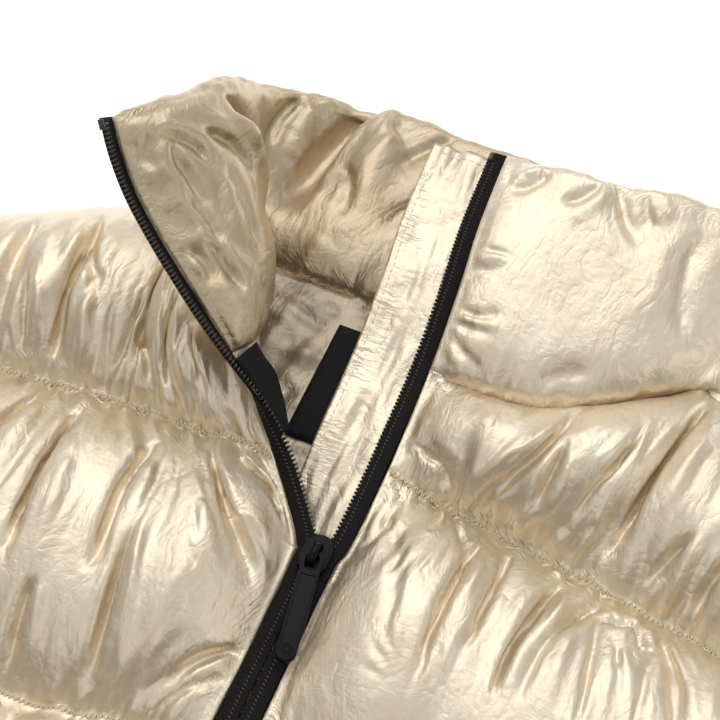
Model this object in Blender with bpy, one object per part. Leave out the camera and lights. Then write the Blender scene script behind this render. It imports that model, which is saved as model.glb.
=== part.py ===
"""A padded gilet laid on its back on a flat surface, its front zip half open.

The garment lies with its hem towards -Y and its collar towards +Y.  +X is the wearer's left and +Z is
up, away from the surface.  Lengths below are millimetres, counted from the zip's slider, and each mesh
is written in metres.  The wearer's left half of the collar lies flat over the back of the collar.  The
wearer's right half is pulled open: it stands up and leans outwards, and shows its inner side.
"""
import math
from collections import namedtuple

import bmesh
import bpy
import numpy as np

MM = 0.001
SEAM_GAP = 0.4
FOLD_GAP = 2.2               # more room where the collar folds over at the neck points
RAISED_GAP = 1.6             # and along the raised half of the neck seam

# ---------------------------------------------------------------- driving sizes
CENTRE_SHIFT_Y = 92.5        # from the slider to the middle of the garment's length
BAND_HEIGHT = 128.5          # between two shirred seams, measured at the centre front
YOKE_SEAM_Y = 45.0           # first shirred seam, at the centre front
HEM_BAND_HEIGHT = 72.0
NECK_POINT = (113.0, 139.0)          # where neck and shoulder seams meet
SHOULDER_TIP = (206.0, 92.0)
UNDERARM_Y = -128.0

FRONT_REST_Z = 22.9          # inner side of the fronts, where they lie on the back
BACK_TOP_Z = 20.6
BACK_EDGE_Z = 17.5
LINING_THICKNESS = 1.2
LINING_TOP_Y = 123.0
FRONT_CROWN = 29.0           # padding of the fronts in the middle of a band
FRONT_SEAM = 7.0             # padding at a shirred seam
FRONT_EDGE = 2.4             # wall at side seams, armholes and shoulders
FRONT_ROUNDING = 27.0        # how far in from a free edge the fronts reach their full height
ZIP_ROUNDING = 32.0          # and how far from the zip
CROWN_SWAY = 0.07            # share by which the padding's height sways along a band
GATHER_DEPTH = 2.3
GATHER_REACH = 13.0          # how far from a seam the gathers fade
FRONT_YOKE_HEIGHT = 66.0     # from the first seam to the neck or shoulder seam, about
BACK_YOKE_HEIGHT = 100.0
BACK_ROUNDING = 26.0         # how far in from its edge the back rests flat
BACK_NECK_DROP = 7.0         # the back is thinner beside the neck seam
BACK_NECK_REACH = 24.0
BACK_NECK_Z = 10.5           # and its outer side rises to this height there

TAPE_WIDTH = 7.2             # what shows of each zip half
TAPE_THICKNESS = 1.2
COIL_WIDTH = 2.6
COIL_THICKNESS = 1.5
ZIP_Z = 34.4
HEM_Y = YOKE_SEAM_Y - 3 * BAND_HEIGHT - HEM_BAND_HEIGHT

# Side edge of the front and back, from the hem up to the shoulder tip.
SIDE_EDGE = ((256.0, HEM_Y), (262.0, -300.0), (263.0, -200.0), (262.0, UNDERARM_Y), (247.0, -121.0),
             (222.0, -98.0), (202.0, -58.0), (190.0, -10.0), (187.0, 35.0), (193.0, 68.0), SHOULDER_TIP)
# How steeply each shirred seam drops from the centre front to the side, from the yoke down.
SEAM_SLOPES = {"left": (0.165, 0.16, 0.11, 0.07), "right": (0.115, 0.19, 0.13, 0.07)}
BACK_SLOPES = (0.10, 0.10, 0.08, 0.05)
HEM_SLOPE = 0.03
SIDE_SCALLOP = 6.0
SEAM_YS = tuple(YOKE_SEAM_Y - BAND_HEIGHT * index for index in range(4))
# Rows of each panel between two seams, as shares of the way up, closer beside the seams.
BAND_SHARES = (0.0, 0.05, 0.13, 0.27, 0.5, 0.73, 0.87, 0.95, 1.0)
HEM_SHARES = (0.0, 0.07, 0.22, 0.5, 0.78, 0.93, 1.0)
YOKE_SHARES = (0.0, 0.07, 0.16, 0.3, 0.48, 0.66, 0.82, 0.93, 1.0)
NECK_SHARE = 0.46            # share of a front's columns that end on the neck seam
CF_LIFT_WIDTH = 34.0
BACK_BAND_SHARES = (0.0, 0.06, 0.2, 0.5, 0.8, 0.94, 1.0)
FRONT_COLUMNS = 42
COLLAR_COLUMNS = 62
COLLAR_SHARES = (0.0, 0.03, 0.09, 0.18, 0.3, 0.43, 0.57, 0.7, 0.82, 0.91, 0.97, 1.0)
COLLAR_HEIGHT = 108.0
NECK_REACH = {"left": 2.0, "right": 3.8}    # how far short of the neck point each front ends

UNDERLAP_REACH = 25.5        # from the teeth to its free edge
UNDERLAP_THICKNESS = 1.6
UNDERLAP_LOW_Z = 24.05
FACING_FROM = 52.0           # the strip inside the right zip half, measured along it from the slider
FACING_TO = 86.0
FACING_HANG = (8.0, 13.0)    # its width at its lower and upper end
FACING_THICKNESS = 0.9
LABEL_SIZE = (74.0, 57.0, 0.7)
LABEL_TOP_Y = 108.5

PLATE_LOW_Z = 36.1
PLATE_THICKNESS = 2.2
PLATE_HALF = (5.9, 8.6)
UNDER_PLATE_Z = (30.4, 31.9)
HINGE_Y = -1.0
HINGE_Z = PLATE_LOW_Z + PLATE_THICKNESS + 2.2
BRIDGE_HALF_LENGTH = 5.0
BRIDGE_WIDTH = 3.4
BRIDGE_WALL = 1.3
BRIDGE_TOP_Z = HINGE_Z + 2.6
WINDOW_REACH = 7.4
WINDOW_HALF = 2.5
BAR_RADIUS = 0.8

TAB_LENGTH = 46.0
TAB_WIDTH = 8.0
TAB_THICKNESS = 2.0
TAB_YAW = math.radians(9.0)

# The zip's path, teeth edge.  d* is the unit direction from the teeth to the gold edge of that half.
ZipRow = namedtuple("ZipRow", "x y z dx dy dz")
ZIP_RIGHT_ROWS = (
    ZipRow(-0.25, HEM_Y, ZIP_Z, -1.0, 0.0, 0.0),
    ZipRow(-0.25, -200.0, ZIP_Z, -1.0, 0.0, 0.0),
    ZipRow(-0.25, -60.0, ZIP_Z, -1.0, 0.0, 0.0),
    ZipRow(-0.25, -4.0, ZIP_Z, -1.0, 0.0, 0.0),
    ZipRow(-3.2, 7.0, 34.9, -1.0, 0.1, 0.0),
    ZipRow(-11.0, 18.0, 37.2, -0.93, 0.3, 0.1),
    ZipRow(-25.0, 33.0, 44.0, -0.95, 0.22, -0.05),
    ZipRow(-41.0, 43.5, 54.0, -0.88, 0.40, -0.25),
    ZipRow(-59.5, 50.5, 65.5, -0.25, 0.82, -0.50),
    ZipRow(-77.0, 59.0, 75.0, 0.20, 0.76, -0.62),
    ZipRow(-92.0, 67.5, 84.5, 0.30, 0.70, -0.65),
    ZipRow(-104.5, 75.0, 93.0, 0.32, 0.66, -0.68),
    ZipRow(-117.0, 83.5, 102.0, 0.32, 0.66, -0.68),
    ZipRow(-127.0, 92.5, 111.5, 0.32, 0.66, -0.68),
    ZipRow(-135.0, 102.0, 120.0, 0.32, 0.66, -0.68),
)
ZIP_LEFT_ROWS = (
    ZipRow(0.25, HEM_Y, ZIP_Z, 1.0, 0.0, 0.0),
    ZipRow(0.25, -200.0, ZIP_Z, 1.0, 0.0, 0.0),
    ZipRow(0.25, -60.0, ZIP_Z, 1.0, 0.0, 0.0),
    ZipRow(0.25, -4.0, ZIP_Z, 1.0, 0.0, 0.0),
    ZipRow(2.2, 7.0, 34.9, 1.0, 0.0, 0.0),
    ZipRow(3.0, 18.0, 36.0, 1.0, 0.0, 0.0),
    ZipRow(3.0, 49.0, 37.0, 1.0, 0.0, 0.0),
    ZipRow(2.0, 92.0, 39.0, 1.0, 0.0, 0.0),
    ZipRow(0.0, 128.0, 46.0, 1.0, 0.0, 0.0),
    ZipRow(-3.0, 158.0, 49.0, 1.0, 0.0, 0.0),
    ZipRow(-5.0, 199.0, 50.0, 1.0, 0.0, 0.0),
)
ZIP_SEAM_LENGTHS = {"right": 88.0, "left": 91.0}     # slider to neck seam along each half

# Collar: sections across the pad, from the wearer's left zip round the back to the right zip.
# b* is its neck seam, t* its top edge, half is half the thickness in the middle of the pad.
CollarRow = namedtuple("CollarRow", "bx by bz tx ty tz half")
COLLAR_ROWS = (
    CollarRow(9.6, 91.0, 39.0, 2.6, 199.0, 50.0, 4.0),
    CollarRow(20.0, 90.5, 37.0, 15.0, 200.0, 50.0, 10.0),
    CollarRow(36.0, 91.0, 36.0, 33.0, 201.0, 50.0, 13.0),
    CollarRow(55.0, 93.5, 35.0, 54.0, 203.0, 50.0, 13.5),
    CollarRow(76.0, 103.5, 34.0, 80.0, 208.0, 50.0, 13.0),
    CollarRow(97.0, 120.0, 31.0, 104.0, 211.0, 47.0, 12.0),
    CollarRow(112.0, 134.0, 26.0, 123.0, 213.0, 40.0, 9.0),
    CollarRow(117.0, 139.0, 20.5, 129.0, 215.0, 30.0, 8.0),
    CollarRow(110.0, 137.5, 14.0, 121.0, 218.0, 20.0, 9.0),
    CollarRow(90.0, 132.0, 12.0, 98.0, 222.0, 15.0, 11.0),
    CollarRow(50.0, 128.6, 12.0, 54.0, 225.0, 13.5, 12.0),
    CollarRow(0.0, 128.0, 12.0, 0.0, 227.0, 13.0, 12.0),
    CollarRow(-50.0, 128.6, 12.0, -50.0, 229.0, 14.0, 12.0),
    CollarRow(-88.0, 132.0, 12.5, -86.0, 224.0, 17.0, 10.0),
    CollarRow(-106.0, 137.5, 15.5, -106.0, 215.0, 27.0, 8.0),
    CollarRow(-108.0, 135.0, 22.0, -117.0, 198.0, 46.0, 8.0),
    CollarRow(-95.0, 122.5, 30.0, -119.0, 180.0, 67.0, 11.0),
    CollarRow(-73.0, 102.0, 41.0, -121.0, 161.0, 84.0, 13.0),
    CollarRow(-58.5, 79.0, 52.0, -122.5, 140.0, 97.0, 12.0),
    CollarRow(-56.0, 66.0, 58.5, -126.5, 124.0, 107.5, 9.0),
    CollarRow(-60.4, 56.6, 61.6, -132.6, 107.0, 115.2, 2.6),
)
COLLAR_EDGE_HALF = 1.7       # half thickness of the pad's stitched edges

# Long folds, as soft valleys (deep > 0) or ridges (deep < 0) in the fronts' outer side.
Fold = namedtuple("Fold", "x0 y0 x1 y1 deep width")
FOLDS_LEFT = (
    Fold(116, 104, 108, 58, 7, 11), Fold(110, 60, 100, 22, 6, 9), Fold(54, 24, 57, -55, 7, 9),
    Fold(92, 14, 86, -42, 6, 9), Fold(74, 8, 72, -60, -4, 9), Fold(124, 12, 122, -40, 6, 10),
    Fold(60, 88, 72, 48, 4, 9), Fold(84, 92, 92, 52, 5, 8), Fold(36, 84, 34, 52, 3, 8),
    Fold(150, 104, 146, 40, 5, 12), Fold(178, 84, 172, 30, 5, 11), Fold(26, 10, 30, -46, 5, 8),
)
FOLDS_RIGHT = (
    Fold(-144, 96, -130, 26, 7, 10), Fold(-105, 86, -108, 30, 7, 9), Fold(-96, 60, -82, 28, 5, 7),
    Fold(-110, 16, -105, -60, 8, 10), Fold(-74, 16, -70, -52, 7, 9), Fold(-66, -18, -56, -98, -5, 9),
    Fold(-46, 20, -14, -26, 7, 8), Fold(-28, 24, -12, 6, -4, 7), Fold(-10, -32, -36, -94, 6, 8),
    Fold(-170, 94, -164, 36, 5, 12), Fold(-146, 14, -142, -50, 6, 11),
)

FABRIC = ("gold_foil_fabric", (0.62, 0.50, 0.33), 0.33, 0.9)
LINING = ("silver_gold_lining", (0.55, 0.48, 0.36), 0.38, 0.8)
TAPE = ("black_zip_tape", (0.015, 0.013, 0.012), 0.6, 0.0)
BLACK_CLOTH = ("black_woven_cloth", (0.01, 0.01, 0.011), 0.75, 0.0)
BLACK_METAL = ("black_lacquered_metal", (0.012, 0.011, 0.011), 0.22, 0.6)


# ---------------------------------------------------------------- small mathematics
def smoothstep(value):
    """Ease from 0 to 1, flat at both ends."""
    value = np.clip(value, 0.0, 1.0)
    return value * value * (3.0 - 2.0 * value)


def unit(vectors):
    """Vectors scaled to length 1."""
    vectors = np.asarray(vectors, float)
    return vectors / np.maximum(np.linalg.norm(vectors, axis=-1, keepdims=True), 1e-9)


def hash_noise(*keys):
    """A repeatable number from 0 to 1 for each set of keys."""
    value = math.sin(sum(key * factor for key, factor in zip(keys, (12.9898, 78.233, 37.719)))) * 43758.5453
    return value - math.floor(value)


class Curve:
    """A smooth curve through a few points, read by the share of its length."""

    STEPS = 12

    def __init__(self, points):
        points = np.asarray(points, float)
        ends = np.vstack([2 * points[0] - points[1], points, 2 * points[-1] - points[-2]])
        dense = []
        for before, start, end, after in zip(ends, ends[1:], ends[2:], ends[3:]):
            for step in range(self.STEPS):
                t = step / self.STEPS
                dense.append(0.5 * (2 * start + (end - before) * t
                                    + (2 * before - 5 * start + 4 * end - after) * t * t
                                    + (3 * start - before - 3 * end + after) * t ** 3))
        dense.append(points[-1])
        self.points = np.array(dense)
        steps = np.linalg.norm(np.diff(self.points[:, :3], axis=0), axis=1)
        self.lengths = np.concatenate([[0.0], np.cumsum(steps)])
        self.length = self.lengths[-1]

    def at(self, shares):
        """Points at shares 0 to 1 of the length."""
        wanted = np.asarray(shares, float) * self.length
        return np.stack([np.interp(wanted, self.lengths, column) for column in self.points.T], axis=-1)

    def share_at_y(self, y):
        """The share of the length at which a curve that rises in y reaches y."""
        return float(np.interp(y, self.points[:, 1], self.lengths)) / self.length


def coons(bottom, top, left, right):
    """A surface spanned by four edges, each an array of points."""
    rows, columns = len(left), len(bottom)
    t = np.linspace(0, 1, rows)[:, None, None]
    u = np.linspace(0, 1, columns)[None, :, None]
    across = (1 - t) * bottom[None] + t * top[None]
    along = (1 - u) * left[:, None] + u * right[:, None]
    corners = ((1 - t) * (1 - u) * bottom[0] + (1 - t) * u * bottom[-1]
               + t * (1 - u) * top[0] + t * u * top[-1])
    return across + along - corners


def distance_to_line(points, fold):
    """Distance of each point, in plan, from a fold's line, and its place along it from 0 to 1."""
    start = np.array([fold.x0, fold.y0], float)
    span = np.array([fold.x1, fold.y1], float) - start
    offset = points[..., :2] - start
    along = np.clip((offset @ span) / (span @ span), 0.0, 1.0)
    return np.linalg.norm(offset - along[..., None] * span, axis=-1), along


# ---------------------------------------------------------------- Blender helpers
def material(spec):
    """A Principled material from a name, colour, roughness and metallic value."""
    name, colour, roughness, metallic = spec
    made = bpy.data.materials.get(name)
    if made is None:
        made = bpy.data.materials.new(name)
        made.use_nodes = True
        shader = made.node_tree.nodes["Principled BSDF"]
        shader.inputs["Base Color"].default_value = (*colour, 1.0)
        shader.inputs["Roughness"].default_value = roughness
        shader.inputs["Metallic"].default_value = metallic
    return made


def add_mesh(name, points, faces, spec, pivot=(0.0, 0.0, 0.0)):
    """One object from points in millimetres, its origin on the pivot."""
    pivot = np.asarray(pivot, float)
    shift = np.array([0.0, CENTRE_SHIFT_Y, 0.0])
    mesh = bpy.data.meshes.new(name)
    mesh.from_pydata([tuple((np.asarray(p) - pivot) * MM) for p in points], [], faces)
    mesh.materials.append(material(spec))
    mesh.update()
    mesh.shade_smooth()
    made = bpy.data.objects.new(name, mesh)
    made.location = tuple((pivot + shift) * MM)
    bpy.context.collection.objects.link(made)
    return made


def signed_volume(points, faces):
    """Six times the volume of a closed surface, negative where it is inside out."""
    points = np.asarray(points, float)
    total = 0.0
    for face in faces:
        for second, third in zip(face[1:], face[2:]):
            total += np.dot(points[face[0]], np.cross(points[second], points[third]))
    return total


def closed_shell(name, outer, inner, spec):
    """A wall between two grids of points, closed round its edge."""
    rows, columns = outer.shape[:2]
    points = np.concatenate([outer.reshape(-1, 3), inner.reshape(-1, 3)])
    base = rows * columns

    def corner(row, column):
        return row * columns + column

    faces = []
    for row in range(rows - 1):
        for column in range(columns - 1):
            a, b = corner(row, column), corner(row, column + 1)
            c, d = corner(row + 1, column + 1), corner(row + 1, column)
            flip = (row + column) % 2
            pairs = ((a, b, c), (a, c, d)) if flip else ((a, b, d), (b, c, d))
            for tri in pairs:
                faces.append(tri)
                faces.append(tuple(base + index for index in reversed(tri)))
    rim = [corner(0, column) for column in range(columns)]
    rim += [corner(row, columns - 1) for row in range(1, rows)]
    rim += [corner(rows - 1, column) for column in range(columns - 2, -1, -1)]
    rim += [corner(row, 0) for row in range(rows - 2, 0, -1)]
    for here, there in zip(rim, rim[1:] + rim[:1]):
        faces.append((there, here, base + here))
        faces.append((there, base + here, base + there))
    if signed_volume(points, faces) < 0:
        faces = [tuple(reversed(face)) for face in faces]
    made = add_mesh(name, points, faces, spec)
    merge_flat_faces(made.data)
    return made


def merge_flat_faces(mesh):
    """Join neighbouring faces that lie in one plane."""
    work = bmesh.new()
    work.from_mesh(mesh)
    bmesh.ops.dissolve_limit(work, angle_limit=math.radians(0.05), verts=work.verts, edges=work.edges)
    work.to_mesh(mesh)
    work.free()
    mesh.update()


def sweep(name, rings, spec, pivot=(0.0, 0.0, 0.0)):
    """A closed solid through rings of equally many points."""
    count = len(rings[0])
    points = [point for ring in rings for point in ring]
    faces = [tuple(range(count)), tuple(reversed(range(len(points) - count, len(points))))]
    for row in range(len(rings) - 1):
        for column in range(count):
            after = (column + 1) % count
            faces.append((row * count + column, (row + 1) * count + column,
                          (row + 1) * count + after, row * count + after))
    if signed_volume(points, faces) < 0:
        faces = [tuple(reversed(face)) for face in faces]
    return add_mesh(name, points, faces, spec, pivot)


# ---------------------------------------------------------------- zip
ZIP_ROWS = {"right": ZIP_RIGHT_ROWS, "left": ZIP_LEFT_ROWS}
ZIP_CURVES = {side: Curve(rows) for side, rows in ZIP_ROWS.items()}


def zip_frames(side, shares):
    """Teeth edge, direction to the gold edge and outward normal at shares of a half's length."""
    curve = ZIP_CURVES[side]
    rows = curve.at(shares)
    ahead = curve.at(np.clip(np.asarray(shares) + 0.004, 0, 1))
    behind = curve.at(np.clip(np.asarray(shares) - 0.004, 0, 1))
    tangent = unit(ahead[..., :3] - behind[..., :3])
    across = unit(rows[..., 3:6])
    across = unit(across - tangent * np.sum(across * tangent, axis=-1, keepdims=True))
    normal = np.cross(tangent, across) if side == "right" else np.cross(across, tangent)
    return rows[..., :3], across, normal


def zip_share(side, beyond_slider):
    """The share of a half's length that lies this far beyond the slider."""
    curve = ZIP_CURVES[side]
    return curve.share_at_y(0.0) + beyond_slider / curve.length


def gold_edge(side, shares, drop=0.0, gap=SEAM_GAP):
    """The fabric edge along a zip half, lowered from the tape's middle by drop."""
    teeth, across, normal = zip_frames(side, shares)
    return teeth + across * (TAPE_WIDTH + gap) - normal * drop


def zip_half(side):
    """One tape with its coil on the inner side, swept from hem to collar top."""
    section = ((0.0, TAPE_THICKNESS / 2), (TAPE_WIDTH, TAPE_THICKNESS / 2),
               (TAPE_WIDTH, -TAPE_THICKNESS / 2), (COIL_WIDTH, -TAPE_THICKNESS / 2),
               (COIL_WIDTH, -TAPE_THICKNESS / 2 - COIL_THICKNESS),
               (0.0, -TAPE_THICKNESS / 2 - COIL_THICKNESS))
    slider_share = zip_share(side, -6.0)
    shares = np.concatenate([np.linspace(0, slider_share, 3)[:-1], np.linspace(slider_share, 1, 36)])
    teeth, across, normal = zip_frames(side, shares)
    rings = [[t + a * w + n * h for w, h in section] for t, a, n in zip(teeth, across, normal)]
    return sweep(f"zip_tape_{side}", rings, TAPE)


# ---------------------------------------------------------------- collar
def collar_centre(columns):
    """Bottom and top points and half thickness at even steps along the collar."""
    bottom = Curve([(row.bx, row.by, row.bz) for row in COLLAR_ROWS])
    top = Curve([(row.tx, row.ty, row.tz, row.half) for row in COLLAR_ROWS])
    mean = (bottom.lengths / bottom.length + top.lengths / top.length) / 2
    wanted = np.linspace(0, 1, columns)

    def read(curve):
        return np.stack([np.interp(wanted, mean, column) for column in curve.points.T], axis=-1)

    upper = read(top)
    return read(bottom), upper[:, :3], upper[:, 3]


def collar():
    """The collar's pad: outer and inner cloth stitched together along its four edges."""
    columns = COLLAR_COLUMNS
    bottom, top, half = collar_centre(columns)
    shares = np.array(COLLAR_SHARES)
    centre = bottom[None] + (top - bottom)[None] * shares[:, None, None]
    for side, column, step in (("left", 0, 1), ("right", columns - 1, -1)):
        start = zip_share(side, ZIP_SEAM_LENGTHS[side] + 1.0)
        edge_line = gold_edge(side, start + (1 - start) * shares, 0.0, 0.8)
        shift = edge_line - centre[:, column]
        for offset in range(7):
            centre[:, column + step * offset] += shift * (1 - float(smoothstep(offset / 7.0)))
    along = np.gradient(centre, axis=1)
    up = np.gradient(centre, axis=0)
    normal = unit(np.cross(along, up))
    profile = np.sin(np.pi * shares)[:, None] ** 0.6
    puff = np.maximum(half[None] - COLLAR_EDGE_HALF, 0.5) * profile
    edge = np.minimum(shares, 1 - shares)[:, None] * COLLAR_HEIGHT
    for column in range(columns):
        sign = 1 if column % 2 else -1
        swell = sign * (0.4 + 0.8 * hash_noise(column, 3.1)) * np.exp(-edge[:, 0] / 14.0)
        puff[:, column] += np.where(edge[:, 0] > 0, swell * min(half[column] / 10.0, 1.0), 0.0)
    thick = COLLAR_EDGE_HALF + np.maximum(puff, 0.0)
    outer = centre - normal * thick[..., None]
    inner = centre + normal * thick[..., None]
    for surface in (outer, inner):
        surface[..., 2] = np.maximum(surface[..., 2], 0.0)
    return closed_shell("collar", outer, inner, FABRIC)


# ---------------------------------------------------------------- body panels
def side_point(sign, y):
    """Where the side edge of a panel is at height y."""
    edge = np.array(SIDE_EDGE, float)
    x = np.interp(y, edge[:, 1], edge[:, 0])
    return np.array([sign * abs(x), y])


def seam_end_y(seam_y, slope):
    """The height at which a sloping seam meets the side edge."""
    y = seam_y
    for _ in range(30):
        y = 0.5 * y + 0.5 * (seam_y + 2.0 - slope * abs(side_point(1, y)[0]))
    return y


def lift_at(x, z_edge):
    """Inner side of a front: flat on the back, raised to the zip within CF_LIFT_WIDTH."""
    away = np.clip((np.abs(x) - TAPE_WIDTH) / CF_LIFT_WIDTH, 0, 1)
    return FRONT_REST_Z + (z_edge - FRONT_REST_Z) * (1 - smoothstep(away))


def front_seam(side, level, columns):
    """A front's seam or hem line on its inner side, from the zip to the side edge."""
    sign = 1 if side == "left" else -1
    slope = HEM_SLOPE if level == 4 else SEAM_SLOPES[side][level]
    seam_y = HEM_Y if level == 4 else SEAM_YS[level]
    start = gold_edge(side, [zip_share(side, seam_y)], 1.6)[0]
    end_y = HEM_Y if level == 4 else seam_end_y(seam_y, slope)
    end_x = side_point(sign, end_y)[0]
    if level == 0 and side == "right":
        knots = [start, (-46, 36, 34), (-62, 35, 28), (-88, 35.5, 24.2), (-116, 34, FRONT_REST_Z),
                 (-150, 30, FRONT_REST_Z), (end_x, end_y, FRONT_REST_Z)]
        return Curve(knots).at(np.linspace(0, 1, columns))
    x = np.linspace(start[0], end_x, columns)
    share = np.linspace(0, 1, columns)
    straight = start[1] + (end_y - start[1]) * share
    sag = 4 * share * (1 - share) * (3.0 if level < 4 else -2.0)
    return np.stack([x, straight + sag, lift_at(x, start[2])], axis=-1)


def off_collar(bottom, top, gap):
    """The collar's neck seam moved off the collar, further where it folds at the neck points."""
    fold = smoothstep((np.abs(bottom[:, 0]) - NECK_POINT[0] + 24.0) / 16.0)
    return bottom + unit(bottom - top) * (gap + FOLD_GAP * fold)[:, None]


def neck_line(side, count):
    """A front's neck edge on its inner side, just off the collar, from zip to neck point."""
    bottom, top, _ = collar_centre(200)
    line = off_collar(bottom, top, SEAM_GAP if side == "left" else RAISED_GAP)
    line[:, 2] -= 1.5
    first = line[:80] if side == "left" else line[:-81:-1]
    sign = 1 if side == "left" else -1
    reach = int(np.argmax(sign * first[:, 0] > NECK_POINT[0] - NECK_REACH[side]))
    reach = reach if reach else int(np.argmax(sign * first[:, 0]))
    curve = Curve(first[:reach + 1])
    line = curve.at(np.linspace(0, 1, count))
    line[:, 2] = np.maximum(line[:, 2], FRONT_REST_Z)
    return line


def shoulder_line(start, sign, count, z):
    """The shoulder seam from the neck point to the tip, slightly arched."""
    tip = np.array([sign * SHOULDER_TIP[0], SHOULDER_TIP[1], z])
    share = np.linspace(0, 1, count)[:, None]
    line = start + (tip - start) * share
    line[:, 1] += 7.0 * np.sin(np.pi * share[:, 0])
    return line


def side_edge_rows(sign, low_y, high_y, shares, z):
    """A band's side edge, bulging between its seams."""
    rows = np.array([side_point(sign, low_y + (high_y - low_y) * share) for share in shares])
    rows[:, 0] += sign * SIDE_SCALLOP * np.sin(np.pi * np.asarray(shares)) * (0.4 if high_y > 0 else 1.0)
    return np.column_stack([rows, np.full(len(shares), z)])


def soft_normals(normal):
    """Normals averaged with their neighbours, so that offsets don't cross at a corner."""
    for _ in range(4):
        padded = np.pad(normal, ((1, 1), (2, 2), (0, 0)), mode="edge")
        rows, columns = normal.shape[:2]
        normal = unit(sum(padded[i:i + rows, j:j + columns] for i in range(3) for j in range(5)))
    return normal


def pillow(distance, width):
    """Rises steeply from 0 at an edge to 1 at width away."""
    inward = 1 - np.clip(np.asarray(distance) / width, 0, 1)
    return np.sqrt(np.maximum(1 - inward * inward, 0.0))


def resample_rows(patch, shares):
    """Read a patch that has evenly spaced rows at uneven shares."""
    even = np.linspace(0, 1, len(patch))
    return np.stack([np.stack([np.interp(shares, even, patch[:, column, axis]) for axis in range(3)], -1)
                     for column in range(patch.shape[1])], axis=1)


def front_panel(side):
    """A padded front: flat inner side, and an outer side with bands, gathers and long folds."""
    sign = 1 if side == "left" else -1
    columns = FRONT_COLUMNS
    seams = [front_seam(side, level, columns) for level in range(5)]
    neck_count = int(round(NECK_SHARE * columns))
    neck = neck_line(side, neck_count)
    shoulder = shoulder_line(neck[-1], sign, columns - neck_count + 1, FRONT_REST_Z)
    top = np.concatenate([neck, shoulder[1:]])
    lines = [seams[4], seams[3], seams[2], seams[1], seams[0], top]
    share_sets = [HEM_SHARES, BAND_SHARES, BAND_SHARES, BAND_SHARES, YOKE_SHARES]
    grid, band_share, band_of = [], [], []
    for band, (low, high, shares) in enumerate(zip(lines, lines[1:], share_sets)):
        even = np.linspace(0, 1, 25)
        low_cf = zip_share(side, SEAM_YS[4 - band] if 0 < band else HEM_Y)
        if band == 0:
            low_cf = 0.0
        high_cf = zip_share(side, SEAM_YS[3 - band] if band < 4 else ZIP_SEAM_LENGTHS[side])
        left = gold_edge(side, low_cf + (high_cf - low_cf) * even, 1.6)
        left += np.outer(1 - even, low[0] - left[0]) + np.outer(even, high[0] - left[-1])
        right = side_edge_rows(sign, low[-1][1], high[-1][1], even, FRONT_REST_Z)
        right += np.outer(1 - even, low[-1] - right[0]) + np.outer(even, high[-1] - right[-1])
        patch = resample_rows(coons(low, high, left, right), shares)
        start = 0 if band == 0 else 1
        grid.extend(patch[start:])
        band_share.extend(shares[start:])
        band_of.extend([band] * len(shares[start:]))
    inner = np.array(grid)
    inner[..., 2] = np.maximum(inner[..., 2], FRONT_REST_Z)
    normal = soft_normals(unit(np.cross(np.gradient(inner, axis=1), np.gradient(inner, axis=0))) * sign)
    height = front_height(side, inner, np.array(band_share), np.array(band_of))
    outer = inner + normal * height[..., None]
    return closed_shell(f"front_{side}", outer, inner, FABRIC)


def front_height(side, inner, band_share, band_of):
    """Thickness of a front over its inner side, row by row."""
    rows, columns = inner.shape[:2]
    steps = np.linalg.norm(np.diff(inner, axis=1), axis=2)
    from_zip = np.concatenate([np.zeros((rows, 1)), np.cumsum(steps, axis=1)], axis=1)
    from_side = from_zip[:, -1:] - from_zip
    spans = (HEM_BAND_HEIGHT, BAND_HEIGHT, BAND_HEIGHT, BAND_HEIGHT, FRONT_YOKE_HEIGHT)
    height = np.zeros((rows, columns))
    for row in range(rows):
        share, band = band_share[row], band_of[row]
        puff = max(math.sin(math.pi * share), 0.0) ** 0.5
        to_top = (1 - share) * spans[band] if band == 4 else 1e3
        to_hem = share * spans[band] if band == 0 else 1e3
        to_seam = min(share if band > 0 else 9, (1 - share) if band < 4 else 9) * spans[band]
        for column in range(columns):
            zip_rise = float(smoothstep(from_zip[row, column] / ZIP_ROUNDING)) ** 0.8
            rim = float(pillow(min(from_side[row, column], to_top, to_hem), FRONT_ROUNDING))
            wave = math.sin(column * 0.41 + band * 2.1) + math.sin(column * 0.23 + band * 4.3)
            crown = (FRONT_CROWN - FRONT_SEAM) * (1 + CROWN_SWAY * wave)
            body = (FRONT_SEAM - FRONT_EDGE) + crown * puff
            gather = (1 if column % 2 else -1) * (0.35 + 0.65 * hash_noise(column, band, to_seam < 0))
            gather *= GATHER_DEPTH * math.exp(-to_seam / GATHER_REACH)
            height[row, column] = FRONT_EDGE + zip_rise * rim * (body + gather)
    folds = FOLDS_LEFT if side == "left" else FOLDS_RIGHT
    soften = smoothstep(from_zip / 26.0) * smoothstep(from_side / 30.0)
    carve = np.zeros_like(height)
    for fold in folds + lower_folds(side):
        distance, _ = distance_to_line(inner, fold)
        carve += fold.deep * np.exp(-(distance / fold.width) ** 2)
    seam_fade = np.array([max(math.sin(math.pi * share), 0.0) ** 0.5 for share in band_share])[:, None]
    height -= carve * soften * seam_fade
    return np.maximum(height, FRONT_EDGE)


def lower_folds(side):
    """Folds like those of the upper bands, running from the seams into the lower bands."""
    sign = 1 if side == "left" else -1
    folds = []
    for level in (1, 2, 3):
        for index in range(7):
            x = 26.0 + 33.0 * index + 9.0 * hash_noise(level, index, sign)
            reach = 42.0 + 40.0 * hash_noise(index, level, 2 + sign)
            start = SEAM_YS[level] - 0.14 * x - 8.0
            if level == 3:
                reach *= 0.5
            lean = 10.0 * (hash_noise(index, 7, level) - 0.5)
            deep = 3.0 + 3.5 * hash_noise(level, sign, index)
            folds.append(Fold(sign * x, start, sign * (x + lean), start - reach, deep, 9.0))
    return tuple(folds)


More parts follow.
